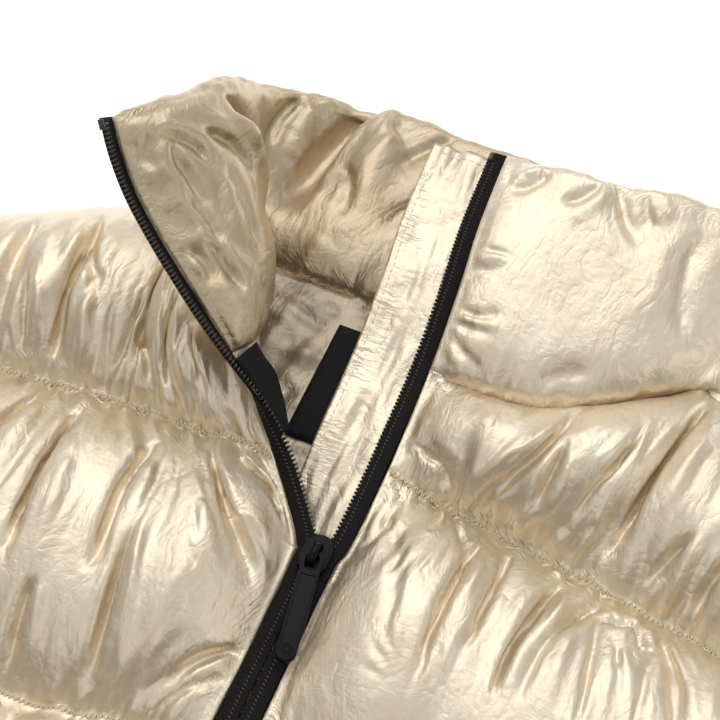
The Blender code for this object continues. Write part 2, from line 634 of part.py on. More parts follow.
def back_outline_rows():
    """Rows of the back from hem to neck and shoulders: lists of points from -X to +X."""
    half = 17
    bottom, top, _ = collar_centre(200)
    neck = off_collar(bottom, top, SEAM_GAP)
    middle = int(np.argmin(np.abs(bottom[:, 0]) + 1e3 * (bottom[:, 2] > 16)))
    left_end = max(index for index in range(middle) if bottom[index, 2] > 19.0)
    right_end = min(index for index in range(middle, 200) if bottom[index, 2] > 19.0)
    curve = Curve(neck[left_end:right_end + 1][::-1][:, :2])
    neck_points = curve.at(np.linspace(0, 1, half))
    lines = []
    for level in (4, 3, 2, 1, 0):
        slope = HEM_SLOPE if level == 4 else BACK_SLOPES[level]
        seam_y = HEM_Y if level == 4 else SEAM_YS[level] - 4.0
        end_y = HEM_Y if level == 4 else seam_end_y(seam_y, slope)
        x_end = side_point(1, end_y)[0]
        x = np.linspace(-x_end, x_end, 2 * half + 8)
        lines.append(np.column_stack([x, end_y + (seam_y - end_y) * (1 - (x / x_end) ** 2)]))
    wing = (2 * half + 8 - half) // 2
    left_wing = shoulder_line(np.array([*neck_points[0], 0.0]), -1, wing + 1, 0.0)[::-1][:-1, :2]
    right_count = 2 * half + 8 - half - wing
    right_wing = shoulder_line(np.array([*neck_points[-1], 0.0]), 1, right_count + 1, 0.0)[1:, :2]
    lines.append(np.concatenate([left_wing, neck_points, right_wing]))
    return lines


def back_grid():
    """The back's plan, and for each point its distance to the outline and to the nearest seam."""
    lines = back_outline_rows()
    share_sets = [HEM_SHARES] + [BACK_BAND_SHARES] * 3 + [YOKE_SHARES]
    spans = (HEM_BAND_HEIGHT, BAND_HEIGHT, BAND_HEIGHT, BAND_HEIGHT, BACK_YOKE_HEIGHT)
    grid, to_edge, to_seam = [], [], []
    for band, (low, high, shares) in enumerate(zip(lines, lines[1:], share_sets)):
        even = np.linspace(0, 1, 25)
        low3 = np.column_stack([low, np.zeros(len(low))])
        high3 = np.column_stack([high, np.zeros(len(high))])
        edges = []
        for sign, column in ((-1, 0), (1, -1)):
            edge = side_edge_rows(sign, low[column][1], high[column][1], even, 0.0)
            edge += np.outer(1 - even, low3[column] - edge[0]) + np.outer(even, high3[column] - edge[-1])
            edges.append(edge)
        patch = resample_rows(coons(low3, high3, *edges), shares)
        start = 0 if band == 0 else 1
        for row, share in zip(patch[start:], shares[start:]):
            grid.append(row)
            side_distance = np.minimum(np.abs(row[:, 0] - row[0, 0]), np.abs(row[:, 0] - row[-1, 0]))
            top_distance = (1 - share) * spans[band] if band == 4 else 1e3
            hem_distance = share * spans[band] if band == 0 else 1e3
            to_edge.append(np.minimum(side_distance, min(top_distance, hem_distance)))
            low_gap = share if band > 0 else 9
            high_gap = 1 - share if band < 4 else 9
            to_seam.append(np.full(len(row), min(low_gap, high_gap) * spans[band]))
    return np.array(grid), np.array(to_edge), np.array(to_seam)


def back_panel():
    """The padded back: its outer side rests flat and turns up at the edges."""
    grid, to_edge, to_seam = back_grid()
    under, over = grid.copy(), grid.copy()
    rise = 1 - pillow(to_edge, BACK_ROUNDING)
    edge_z = BACK_EDGE_Z - 0.5
    under[..., 2] = edge_z * rise
    over[..., 2] = BACK_TOP_Z
    neck_edge = np.zeros_like(to_edge)
    for column in range(grid.shape[1]):
        x = grid[-1, column, 0]
        if abs(x) < NECK_POINT[0] - 8.0:
            neck_edge[-8:, column] = smoothstep(1 - to_edge[-8:, column] / BACK_NECK_REACH)
    over[..., 2] -= neck_edge * BACK_NECK_DROP
    under[..., 2] -= neck_edge * (edge_z - BACK_NECK_Z) * rise
    return closed_shell("back_panel", over, under, FABRIC)


def back_lining():
    """A smooth sheet over the inner side of the back, a little inside its edges."""
    grid, _, _ = back_grid()
    last = grid.shape[0] - 1
    rows = sorted({0, *range(7, 26, 6), *range(27, last, 2), last})
    columns = sorted({*range(0, grid.shape[1], 3), grid.shape[1] - 1})
    plan = grid[np.ix_(rows, columns)]
    middle = np.array([0.0, -130.0, 0.0])
    size = np.array([0.965, 0.985, 1.0])
    inset = middle + (plan - middle) * size
    inset[-1, :, 1] = np.minimum(inset[-1, :, 1], LINING_TOP_Y)
    under, over = inset.copy(), inset.copy()
    under[..., 2] = BACK_TOP_Z + 0.3
    over[..., 2] = BACK_TOP_Z + 0.3 + LINING_THICKNESS
    return closed_shell("back_lining", over, under, LINING)


# ---------------------------------------------------------------- flat pieces at the zip and neck
def underlap():
    """A flat double flap behind the wearer's left zip half, from hem to collar top."""
    shares = np.concatenate([np.linspace(0, zip_share("left", -40.0), 3)[:-1],
                             np.linspace(zip_share("left", -40.0), 0.998, 30)])
    teeth, _, _ = zip_frames("left", shares)
    rings = []
    for point in teeth:
        under_slider = math.exp(-((point[1]) / 16.0) ** 2)
        near = point + np.array([5.6, 0.0, -3.3 - 2.7 * under_slider])
        rise = float(smoothstep((point[1] - 12.0) / 52.0))
        far_z = UNDERLAP_LOW_Z + (point[2] - 3.6 - UNDERLAP_LOW_Z) * rise
        far = np.array([point[0] - UNDERLAP_REACH, point[1], far_z])
        middle = (near + far) / 2 - np.array([0.0, 0.0, 0.3 + 0.5 * (1 - rise)])
        top = [near, middle, far]
        low = [p - np.array([0.0, 0.0, UNDERLAP_THICKNESS]) for p in reversed(top)]
        rings.append(top + low)
    return sweep("underlap", rings, FABRIC)


def facing_right():
    """A narrow black strip that hangs inside the wearer's right zip half, up to the neck seam."""
    lengths = np.linspace(FACING_FROM, FACING_TO, 9)
    shares = np.array([zip_share("right", length) for length in lengths])
    teeth, across, normal = zip_frames("right", shares)
    rings = []
    for length, t, a, n in zip(lengths, teeth, across, normal):
        above = length - FACING_FROM
        turn = math.radians(58.0) * float(smoothstep(above / (FACING_TO - FACING_FROM)))
        hang = FACING_HANG[0] + (FACING_HANG[1] - FACING_HANG[0]) * float(smoothstep(above / 20.0))
        root = t + a * 3.4 - n * (1.2 + 0.9 * math.sin(turn))
        low = root + (a * math.sin(turn) - n * math.cos(turn)) * hang
        thick = (a * math.cos(turn) + n * math.sin(turn)) * FACING_THICKNESS
        rings.append([root, root + thick, low + thick, low])
    return sweep("facing_right", rings, BLACK_CLOTH)


def neck_label():
    """A blank label lying on the lining under the back neck seam."""
    width, height, thick = LABEL_SIZE
    base = BACK_TOP_Z + 0.3 + LINING_THICKNESS + 0.3
    low_y = LABEL_TOP_Y - height
    corners = ((-width / 2, low_y), (width / 2, low_y), (width / 2, LABEL_TOP_Y), (-width / 2, LABEL_TOP_Y))
    rings = [[(x, y, z) for x, y in corners] for z in (base, base + thick)]
    return sweep("neck_label", rings, BLACK_CLOTH)


# ---------------------------------------------------------------- slider and pull tab
def prism(name, outline, low_z, high_z, spec):
    """An upright prism over a plan outline."""
    rings = [[(x, y, z) for x, y in outline] for z in (low_z, high_z)]
    return sweep(name, rings, spec)


def oval(half_x, half_y, count=20, power=2.6):
    """A rounded outline, squarer than an ellipse."""
    points = []
    for index in range(count):
        angle = 2 * math.pi * index / count
        c, s = math.cos(angle), math.sin(angle)
        points.append((half_x * math.copysign(abs(c) ** (2 / power), c),
                       half_y * math.copysign(abs(s) ** (2 / power), s)))
    return points


def bridge():
    """The arch over the slider's plate that holds the pull tab."""
    low = PLATE_LOW_Z + PLATE_THICKNESS - 0.6
    profile = []
    steps = 8
    for radius_y, top in ((BRIDGE_HALF_LENGTH, BRIDGE_TOP_Z),
                          (BRIDGE_HALF_LENGTH - BRIDGE_WALL, BRIDGE_TOP_Z - BRIDGE_WALL)):
        arc = []
        for step in range(steps + 1):
            angle = math.pi * step / steps
            arc.append((HINGE_Y + radius_y * math.cos(angle), low + (top - low) * math.sin(angle) ** 0.55))
        profile += arc if not profile else arc[::-1]
    rings = [[(x, y, z) for y, z in profile] for x in (-BRIDGE_WIDTH / 2, BRIDGE_WIDTH / 2)]
    return sweep("bridge_part", rings, BLACK_METAL)


def join_parts(target, parts):
    """Union the parts into the target and drop them."""
    for part in parts:
        modifier = target.modifiers.new(part.name, "BOOLEAN")
        modifier.operation = "UNION"
        modifier.object = part
        part.hide_render = True
        part.display_type = "WIRE"
    return target


def slider():
    """Slider: two plates joined by the wedge that parts the coils, and the bridge on top."""
    top_z = PLATE_LOW_Z + PLATE_THICKNESS
    body = prism("slider", oval(*PLATE_HALF), PLATE_LOW_Z, top_z, BLACK_METAL)
    under = prism("under_plate", oval(PLATE_HALF[0] - 0.6, PLATE_HALF[1] - 0.6), *UNDER_PLATE_Z, BLACK_METAL)
    wedge_plan = ((0.0, 1.0), (1.1, 7.0), (-1.1, 7.0))
    wedge = prism("wedge", wedge_plan, UNDER_PLATE_Z[0] + 0.4, top_z - 0.4, BLACK_METAL)
    return join_parts(body, [wedge, under, bridge()])


def tab_outline():
    """Plan of the pull tab along its own length, starting behind the hinge bar."""
    points = [(-TAB_WIDTH / 2 + 0.6, 0.9), (TAB_WIDTH / 2 - 0.6, 0.9), (TAB_WIDTH / 2, 0.1)]
    radius = TAB_WIDTH / 2
    end = -TAB_LENGTH + radius
    points += [(TAB_WIDTH / 2, end)]
    for step in range(1, 8):
        angle = math.pi * step / 8
        points.append((radius * math.cos(angle), end - radius * math.sin(angle)))
    points += [(-TAB_WIDTH / 2, end), (-TAB_WIDTH / 2, 0.1)]
    return points


def tab_point(x, y, z):
    """From the tab's own axes to the garment's: turned a little towards the wearer's left."""
    c, s = math.cos(TAB_YAW), math.sin(TAB_YAW)
    return (c * x - s * y, s * x + c * y + HINGE_Y, z + HINGE_Z)


def pull_tab():
    """The hard pull tab with a window round the bridge; its origin is on the hinge."""
    pivot = (0.0, HINGE_Y, HINGE_Z)
    half = TAB_THICKNESS / 2
    rings = [[tab_point(x, y, z) for x, y in tab_outline()] for z in (-half, half)]
    tab = sweep("pull_tab", rings, BLACK_METAL, pivot)
    window = [(-WINDOW_HALF, -WINDOW_REACH), (WINDOW_HALF, -WINDOW_REACH),
              (WINDOW_HALF, -BAR_RADIUS), (-WINDOW_HALF, -BAR_RADIUS)]
    rings = [[tab_point(x, y, z) for x, y in window] for z in (-half - 1, half + 1)]
    cutter = sweep("tab_window", rings, BLACK_METAL, pivot)
    cut = tab.modifiers.new("window", "BOOLEAN")
    cut.operation = "DIFFERENCE"
    cut.object = cutter
    cutter.hide_render = True
    cutter.display_type = "WIRE"
    return tab


def main():
    for old in list(bpy.data.objects):
        bpy.data.objects.remove(old)
    front_panel("left")
    front_panel("right")
    back_panel()
    back_lining()
    collar()
    underlap()
    facing_right()
    neck_label()
    zip_half("left")
    zip_half("right")
    slider()
    pull_tab()


main()
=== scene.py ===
"""The looks of the gold padded gilet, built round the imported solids.

Lengths are in millimetres and places are from the zip's slider, unless a comment says otherwise.
"""

import math
from collections import namedtuple

import bmesh
import bpy
import numpy as np
from mathutils import Matrix, Vector


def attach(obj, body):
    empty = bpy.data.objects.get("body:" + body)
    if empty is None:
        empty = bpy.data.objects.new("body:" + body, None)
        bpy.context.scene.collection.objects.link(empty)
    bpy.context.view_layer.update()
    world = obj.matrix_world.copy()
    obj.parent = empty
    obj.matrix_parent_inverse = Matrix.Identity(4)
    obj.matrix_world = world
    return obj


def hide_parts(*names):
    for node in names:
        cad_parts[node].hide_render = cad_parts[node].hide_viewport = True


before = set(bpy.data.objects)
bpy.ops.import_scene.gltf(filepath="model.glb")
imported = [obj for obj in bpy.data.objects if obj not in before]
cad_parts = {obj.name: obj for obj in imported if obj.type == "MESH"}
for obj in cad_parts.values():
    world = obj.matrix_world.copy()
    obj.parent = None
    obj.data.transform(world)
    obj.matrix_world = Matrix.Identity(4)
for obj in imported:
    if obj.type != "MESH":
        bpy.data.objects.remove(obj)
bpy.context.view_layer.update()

MM = 0.001
SHIFT = np.array([0.0, 92.5, 0.0])       # from the slider to the frame's origin
SIDES = {"left": 1, "right": -1}         # the wearer's sides, with the sign of their X

# ---- the plan: bands between gathered seams, counted down from the yoke's
BAND_HEIGHT = 128.5
YOKE_SEAM_Y = 45.0
HEM_BAND_HEIGHT = 72.0
HEM_Y = YOKE_SEAM_Y - 3 * BAND_HEIGHT - HEM_BAND_HEIGHT
SEAM_YS = tuple(YOKE_SEAM_Y - BAND_HEIGHT * index for index in range(4))
SEAM_SLOPES = {"left": (0.165, 0.16, 0.11, 0.07), "right": (0.115, 0.19, 0.13, 0.07)}
BACK_SLOPES = (0.10, 0.10, 0.08, 0.05)
SEAM_SAG = 3.0                   # of a seam's middle, above the straight line
SEAM_WANDER = 0.9
HEM_RISE = 2.0                   # of the hem's ends over its middle
SIDE_SCALLOP = 6.0               # how far a band bulges past its seams at the side
ARMHOLE_SCALLOP = 0.4            # of the same bulge, above the slider
NECK_POINT_X = 113.0             # where the collar meets the shoulder
SHOULDER_TIP = (206.0, 92.0)
SHOULDER_BOW = 7.0
UNDERARM_Y = -128.0

# ---- heights and thicknesses
BACK_TOP_Z = 20.6
BACK_EDGE_Z = 17.0               # of the back's rim, over the surface it lies on
BACK_RIM = 26.0                  # the width over which it rounds off
BACK_SEAM_DEPTH = 3.4
BACK_SEAM_WIDTH = 12.0
LINING_Z = 22.1
FRONT_REST_Z = 22.9              # of the fronts' inner side
FRONT_CROWN = 29.0               # thickness of a front over a band's middle
FRONT_SEAM = 7.0                 # and at a gathered seam
FRONT_EDGE = 2.4                 # and at its outline
FRONT_RIM = 27.0                 # the width over which a front's outline rounds off
ZIP_RISE = 32.0                  # the width over which it rises beside the zip
EDGE_PUCKER = 0.35
LIFT_WIDTH = 34.0                # over which a front's inner side drops from the zip to its rest
FAR = 1e3                        # stands for no edge near

# ---- zip and collar
TAPE_WIDTH = 7.2
COIL_WIDTH = 2.6
ZIP_Z = 34.4
ZIP_HALF_GAP = 0.25
SEAM_GAP = 0.4                   # between the tape and the gold cloth
SOLID_GAP = 0.3                  # between the collar and the back
EDGE_DROP = 1.6                  # of a front's zip edge, below the tape's face
NECK_SHARE = 0.46                # of a front's columns end at the neck
NECK_TUCK = 2.0                  # of a front's neck edge, into the collar
NECK_DROP = 1.5                  # and below its seam
NECK_SPARE = {"left": 2.0, "right": 3.8}        # between its end and the neck point
NECK_SEARCH = 80                 # columns of the collar on each side that may lie over a front
COLLAR_COLUMNS = 200
SIDE_EDGE = ((256.0, HEM_Y), (262.0, -300.0), (263.0, -200.0), (262.0, UNDERARM_Y), (247.0, -121.0),
             (222.0, -98.0), (202.0, -58.0), (190.0, -10.0), (187.0, 35.0), (193.0, 68.0), SHOULDER_TIP)

# The zip halves from the hem up: the edge of the teeth and the direction from it to the gold cloth.
ZipRow = namedtuple("ZipRow", "x y z dx dy dz")


def closed_zip(sign):
    return [ZipRow(sign * ZIP_HALF_GAP, y, ZIP_Z, sign, 0.0, 0.0) for y in (HEM_Y, -200.0, -60.0, -4.0)]


ZIP_ROWS = {
    "right": (
        *closed_zip(-1.0),
        ZipRow(-3.2, 7.0, 34.9, -1.0, 0.1, 0.0),
        ZipRow(-11.0, 18.0, 37.2, -0.93, 0.3, 0.1),
        ZipRow(-25.0, 33.0, 44.0, -0.95, 0.22, -0.05),
        ZipRow(-41.0, 43.5, 54.0, -0.88, 0.40, -0.25),
        ZipRow(-59.5, 50.5, 65.5, -0.25, 0.82, -0.50),
        ZipRow(-77.0, 59.0, 75.0, 0.20, 0.76, -0.62),
        ZipRow(-92.0, 67.5, 84.5, 0.30, 0.70, -0.65),
        ZipRow(-104.5, 75.0, 93.0, 0.32, 0.66, -0.68),
        ZipRow(-117.0, 83.5, 102.0, 0.32, 0.66, -0.68),
        ZipRow(-127.0, 92.5, 111.5, 0.32, 0.66, -0.68),
        ZipRow(-135.0, 102.0, 120.0, 0.32, 0.66, -0.68),
    ),
    "left": (
        *closed_zip(1.0),
        ZipRow(2.2, 7.0, 34.9, 1.0, 0.0, 0.0),
        ZipRow(3.0, 18.0, 36.0, 1.0, 0.0, 0.0),
        ZipRow(3.0, 49.0, 37.0, 1.0, 0.0, 0.0),
        ZipRow(2.0, 92.0, 39.0, 1.0, 0.0, 0.0),
        ZipRow(0.0, 128.0, 46.0, 1.0, 0.0, 0.0),
        ZipRow(-3.0, 158.0, 49.0, 1.0, 0.0, 0.0),
        ZipRow(-5.0, 199.0, 50.0, 1.0, 0.0, 0.0),
    ),
}
ZIP_SEAM_LENGTHS = {"right": 88.0, "left": 91.0}        # from the slider to the collar's seam

# The collar from the wearer's left zip round the neck to the right one: bottom, top and half thickness.
CollarRow = namedtuple("CollarRow", "bx by bz tx ty tz half")
COLLAR_ROWS = (
    CollarRow(9.6, 91.0, 39.0, 2.6, 199.0, 50.0, 4.0),
    CollarRow(20.0, 90.5, 37.0, 15.0, 200.0, 50.0, 10.0),
    CollarRow(36.0, 91.0, 36.0, 33.0, 201.0, 50.0, 13.0),
    CollarRow(55.0, 93.5, 35.0, 54.0, 203.0, 50.0, 13.5),
    CollarRow(76.0, 103.5, 34.0, 80.0, 208.0, 50.0, 13.0),
    CollarRow(97.0, 120.0, 31.0, 104.0, 211.0, 47.0, 12.0),
    CollarRow(112.0, 134.0, 26.0, 123.0, 213.0, 40.0, 9.0),
    CollarRow(117.0, 139.0, 20.5, 129.0, 215.0, 30.0, 8.0),
    CollarRow(110.0, 137.5, 14.0, 121.0, 218.0, 20.0, 9.0),
    CollarRow(90.0, 132.0, 12.0, 98.0, 222.0, 15.0, 11.0),
    CollarRow(50.0, 128.6, 12.0, 54.0, 225.0, 13.5, 12.0),
    CollarRow(0.0, 128.0, 12.0, 0.0, 227.0, 13.0, 12.0),
    CollarRow(-50.0, 128.6, 12.0, -50.0, 229.0, 14.0, 12.0),
    CollarRow(-88.0, 132.0, 12.5, -86.0, 224.0, 17.0, 10.0),
    CollarRow(-106.0, 137.5, 15.5, -106.0, 215.0, 27.0, 8.0),
    CollarRow(-108.0, 135.0, 22.0, -117.0, 198.0, 46.0, 8.0),
    CollarRow(-95.0, 122.5, 30.0, -119.0, 180.0, 67.0, 11.0),
    CollarRow(-73.0, 102.0, 41.0, -121.0, 161.0, 84.0, 13.0),
    CollarRow(-58.5, 79.0, 52.0, -122.5, 140.0, 97.0, 12.0),
    CollarRow(-56.0, 66.0, 58.5, -126.5, 124.0, 107.5, 9.0),
    CollarRow(-60.4, 56.6, 61.6, -132.6, 107.0, 115.2, 2.6),
)

# The fronts' folds: points in plan, depth, width and the ridge beside the valley, with the sign of its side.
Fold = namedtuple("Fold", "points deep width ridge")
FOLDS = {
    "left": (
        Fold(((116, 122), (115, 102), (111, 89), (108, 75), (107, 62), (106, 51), (100, 33), (99, 27)),
             9, 6, 0.5),
        Fold(((92, 91), (91, 79), (86, 62), (84, 48), (78, 35)), 5, 4, 0.5),
        Fold(((68, 87), (63, 69), (58, 60), (50, 46), (46, 42)), 5, 4, -0.5),
        Fold(((71, 70), (71, 56), (68, 42)), 3.5, 3.5, 0.4),
        Fold(((22, 56), (29, 53), (36, 42)), 3, 3, 0.4),
        Fold(((128, 53), (122, 41), (119, 30)), 4, 4, 0.5),
        Fold(((145, 52), (141, 38), (138, 26)), 5, 4, 0.5),
        Fold(((150, 104), (152, 80), (148, 50)), 5, 8, 0.4),
        Fold(((178, 84), (176, 60), (170, 26)), 5, 7, 0.4),
        Fold(((57, 30), (55, 9), (55, -7), (54, -28), (57, -52)), 5.5, 4, 0.5),
        Fold(((42, 38), (48, 29), (54, 18)), 4, 3.5, 0.4),
        Fold(((69, 26), (68, 11), (67, -3), (68, -22)), 4, 4.5, -0.5),
        Fold(((90, 24), (87, 5), (84, -8), (83, -22), (85, -42)), 8, 5, 0.6),
        Fold(((106, 22), (98, 7), (93, -8), (92, -36)), 5, 4, 0.5),
        Fold(((113, 16), (121, 17), (130, 9), (136, 18)), 4.5, 4, 0.5),
        Fold(((118, 4), (125, -15), (131, -40)), 4, 7, 0.4),
        Fold(((135, 15), (145, -2), (151, -30)), 4.5, 6, 0.5),
        Fold(((14, 30), (30, 2), (38, -40)), 3, 8, 0.3),
    ),
    "right": (
        Fold(((-143, 92), (-140, 67), (-138, 54), (-134, 40), (-132, 28)), 8, 5, 0.5),
        Fold(((-146, 106), (-137, 82), (-131, 73), (-134, 57)), 4.5, 4.5, -0.6),
        Fold(((-105, 90), (-105, 74), (-103, 61), (-102, 53), (-97, 36)), 7.5, 5, 0.5),
        Fold(((-110, 75), (-109, 55), (-109, 46), (-109, 32)), 4.5, 4, 0.5),
        Fold(((-104, 66), (-93, 50), (-83, 34)), 4.5, 4, -0.5),
        Fold(((-86, 74), (-85, 61), (-82, 49), (-73, 34)), 5.5, 4.5, 0.6),
        Fold(((-69, 64), (-57, 43)), 4, 4, 0.5),
        Fold(((-156, 60), (-150, 44), (-146, 30)), 4, 4, 0.5),
        Fold(((-170, 94), (-166, 60), (-162, 30)), 5, 8, 0.4),
        Fold(((-111, 20), (-108, -9), (-106, -34), (-104, -62)), 8, 5, 0.5),
        Fold(((-76, 16), (-79, -3), (-74, -29), (-69, -52)), 7, 6, 0.4),
        Fold(((-64, -26), (-59, -53), (-57, -73), (-56, -95)), 6, 4.5, 0.8),
        Fold(((-48, 24), (-39, 10), (-27, -6), (-15, -24), (-9, -28)), 8, 6, 0.6),
        Fold(((-38, 26), (-24, 17), (-9, 8)), 5, 4.5, 0.6),
        Fold(((-3, -38), (-8, -44), (-19, -55), (-29, -72), (-36, -92)), 6, 5, 0.5),
        Fold(((-10, -58), (-22, -73), (-28, -90)), 3.5, 4, 0.5),
        Fold(((-132, 20), (-136, -10), (-140, -50)), 5, 6, 0.5),
        Fold(((-160, 14), (-158, -30), (-162, -64)), 5, 7, 0.4),
        Fold(((-90, -60), (-88, -80), (-86, -92)), 4, 4, 0.5),
    ),
}


# ---- small mathematics
def smoothstep(value):
    value = np.clip(value, 0.0, 1.0)
    return value * value * (3.0 - 2.0 * value)


def bell(value):
    return np.exp(-value ** 2)


def unit(vectors):
    vectors = np.asarray(vectors, float)
    return vectors / np.maximum(np.linalg.norm(vectors, axis=-1, keepdims=True), 1e-9)


def hash_noise(*keys):
    value = math.sin(sum(key * factor for key, factor in zip(keys, (12.9898, 78.233, 37.719)))) * 43758.5453
    return value - math.floor(value)


def lengths_along(points, axis=0):
    """Distances from the start along one axis of a path or a grid of points."""
    steps = np.linalg.norm(np.diff(points, axis=axis), axis=-1)
    start = np.zeros_like(np.take(steps, [0], axis=axis))
    return np.concatenate([start, np.cumsum(steps, axis=axis)], axis=axis)


def between(before, start, end, after, t):
    """The smooth way from start to end, bent by the points before and after them."""
    return 0.5 * (2 * start + (end - before) * t + (2 * before - 5 * start + 4 * end - after) * t * t
                  + (3 * start - before - 3 * end + after) * t ** 3)


def read_rows(wanted, places, rows):
    """Rows of numbers at the wanted places, straight between the known ones."""
    return np.stack([np.interp(wanted, places, column) for column in rows.T], axis=-1)


class Curve:
    """A smooth curve through a few points, read by the share of its length."""

    STEPS = 12

    def __init__(self, points):
        points = np.asarray(points, float)
        ends = np.vstack([2 * points[0] - points[1], points, 2 * points[-1] - points[-2]])
        dense = [between(*near, step / self.STEPS) for near in zip(ends, ends[1:], ends[2:], ends[3:])
                 for step in range(self.STEPS)]
        self.points = np.array([*dense, points[-1]])
        self.lengths = lengths_along(self.points[:, :3])
        self.length = self.lengths[-1]

    def at(self, shares):
        return read_rows(np.asarray(shares, float) * self.length, self.lengths, self.points)

    def even(self, count):
        return self.at(np.linspace(0, 1, count))

    def share_at_y(self, y):
        return float(np.interp(y, self.points[:, 1], self.lengths)) / self.length


def coons(bottom, top, left, right):
    rows, columns = len(left), len(bottom)
    t = np.linspace(0, 1, rows)[:, None, None]
    u = np.linspace(0, 1, columns)[None, :, None]
    across = (1 - t) * bottom[None] + t * top[None]
    along = (1 - u) * left[:, None] + u * right[:, None]
    corners = ((1 - t) * (1 - u) * bottom[0] + (1 - t) * u * bottom[-1]
               + t * (1 - u) * top[0] + t * u * top[-1])
    return across + along - corners


def pillow(distance, width):
    inward = 1 - np.clip(np.asarray(distance) / width, 0, 1)
    return np.sqrt(np.maximum(1 - inward * inward, 0.0))


# ---- zip lines
ZIP_CURVES = {side: Curve(rows) for side, rows in ZIP_ROWS.items()}


def zip_frames(side, shares):
    """Teeth edge, direction to the gold edge and outward normal along a zip half."""
    curve = ZIP_CURVES[side]
    rows = curve.at(shares)
    ahead = curve.at(np.clip(np.asarray(shares) + 0.004, 0, 1))
    behind = curve.at(np.clip(np.asarray(shares) - 0.004, 0, 1))
    tangent = unit(ahead[..., :3] - behind[..., :3])
    across = unit(rows[..., 3:6])
    across = unit(across - tangent * np.sum(across * tangent, axis=-1, keepdims=True))
    normal = np.cross(tangent, across) if side == "right" else np.cross(across, tangent)
    return rows[..., :3], across, normal


def zip_share(side, beyond_slider):
    curve = ZIP_CURVES[side]
    return curve.share_at_y(0.0) + beyond_slider / curve.length


def gold_edge(side, shares, drop=0.0):
    """The edge of the gold cloth beside a zip half."""
    teeth, across, normal = zip_frames(side, shares)
    return teeth + across * (TAPE_WIDTH + SEAM_GAP) - normal * drop


# ---- collar lines
def collar_centre(columns):
    """Bottom and top of the collar's middle surface and its half thickness, in even columns."""
    bottom = Curve([(row.bx, row.by, row.bz) for row in COLLAR_ROWS])
    top = Curve([(row.tx, row.ty, row.tz, row.half) for row in COLLAR_ROWS])
    mean = (bottom.lengths / bottom.length + top.lengths / top.length) / 2
    wanted = np.linspace(0, 1, columns)
    upper = read_rows(wanted, mean, top.points)
    return read_rows(wanted, mean, bottom.points), upper[:, :3], upper[:, 3]


def off_collar(bottom, top, gap):
    fold = smoothstep((np.abs(bottom[:, 0]) - NECK_POINT_X + 24.0) / 16.0)
    return bottom + unit(bottom - top) * (gap + 0.8 * fold)[:, None]


# ---- front grids
def side_point(sign, y):
    edge = np.array(SIDE_EDGE, float)
    return np.array([sign * np.interp(y, edge[:, 1], edge[:, 0]), y])


def seam_end_y(seam_y, slope):
    y = seam_y
    for _ in range(30):
        y = 0.5 * y + 0.5 * (seam_y + 2.0 - slope * abs(side_point(1, y)[0]))
    return y


def lift_at(x, z_edge):
    away = np.clip((np.abs(x) - TAPE_WIDTH) / LIFT_WIDTH, 0, 1)
    return FRONT_REST_Z + (z_edge - FRONT_REST_Z) * (1 - smoothstep(away))


# The yoke seam on the wearer's right, pulled up towards the open corner.
RIGHT_YOKE = ((-46, 36, 34), (-62, 35, 28), (-88, 35.5, 24.2), (-116, 34, FRONT_REST_Z),
              (-150, 30, FRONT_REST_Z))


def front_seam(side, level, columns):
    """A gathered seam from the zip to the side, counted from the yoke's; the last level is the hem."""
    hem = level == len(SEAM_YS)
    seam_y = HEM_Y if hem else SEAM_YS[level]
    start = gold_edge(side, [zip_share(side, seam_y)], EDGE_DROP)[0]
    end_y = HEM_Y if hem else seam_end_y(seam_y, SEAM_SLOPES[side][level])
    end_x = side_point(SIDES[side], end_y)[0]
    if level == 0 and side == "right":
        return Curve([start, *RIGHT_YOKE, (end_x, end_y, FRONT_REST_Z)]).even(columns)
    x = np.linspace(start[0], end_x, columns)
    share = np.linspace(0, 1, columns)
    straight = start[1] + (end_y - start[1]) * share
    sag = 4 * share * (1 - share) * (-HEM_RISE if hem else SEAM_SAG)
    wander = SEAM_WANDER * np.sin(x * 0.21 + level) * np.sin(x * 0.083 + 2.0 * level)
    wander *= smoothstep(np.abs(x) / 30.0)
    return np.stack([x, straight + sag + wander, lift_at(x, start[2])], axis=-1)


def neck_line(side, count):
    """The top edge of a front under the collar, from the zip to the neck point."""
    bottom, top, _ = collar_centre(COLLAR_COLUMNS)
    line = off_collar(bottom, top, -NECK_TUCK)
    line[:, 2] -= NECK_DROP
    first = line[::SIDES[side]][:NECK_SEARCH]
    out = SIDES[side] * first[:, 0]
    reach = int(np.argmax(out > NECK_POINT_X - NECK_SPARE[side])) or int(np.argmax(out))
    line = Curve(first[:reach + 1]).even(count)
    line[:, 2] = np.maximum(line[:, 2], FRONT_REST_Z)
    return line


def shoulder_line(start, sign, count, z):
    tip = np.array([sign * SHOULDER_TIP[0], SHOULDER_TIP[1], z])
    share = np.linspace(0, 1, count)[:, None]
    line = start + (tip - start) * share
    line[:, 1] += SHOULDER_BOW * np.sin(np.pi * share[:, 0])
    return line


def side_edge_rows(sign, low_y, high_y, shares, z):
    rows = np.array([side_point(sign, low_y + (high_y - low_y) * share) for share in shares])
    bulge = SIDE_SCALLOP * np.sin(np.pi * np.asarray(shares)) * (ARMHOLE_SCALLOP if high_y > 0 else 1.0)
    rows[:, 0] += sign * bulge
    return np.column_stack([rows, np.full(len(shares), z)])


def band_patch(low, high, left, right, even):
    """A smooth patch between two seams, with both side lines drawn to the seams' ends."""
    for line, end in ((left, 0), (right, -1)):
        line += np.outer(1 - even, low[end] - line[0]) + np.outer(even, high[end] - line[-1])
    return coons(low, high, left, right)


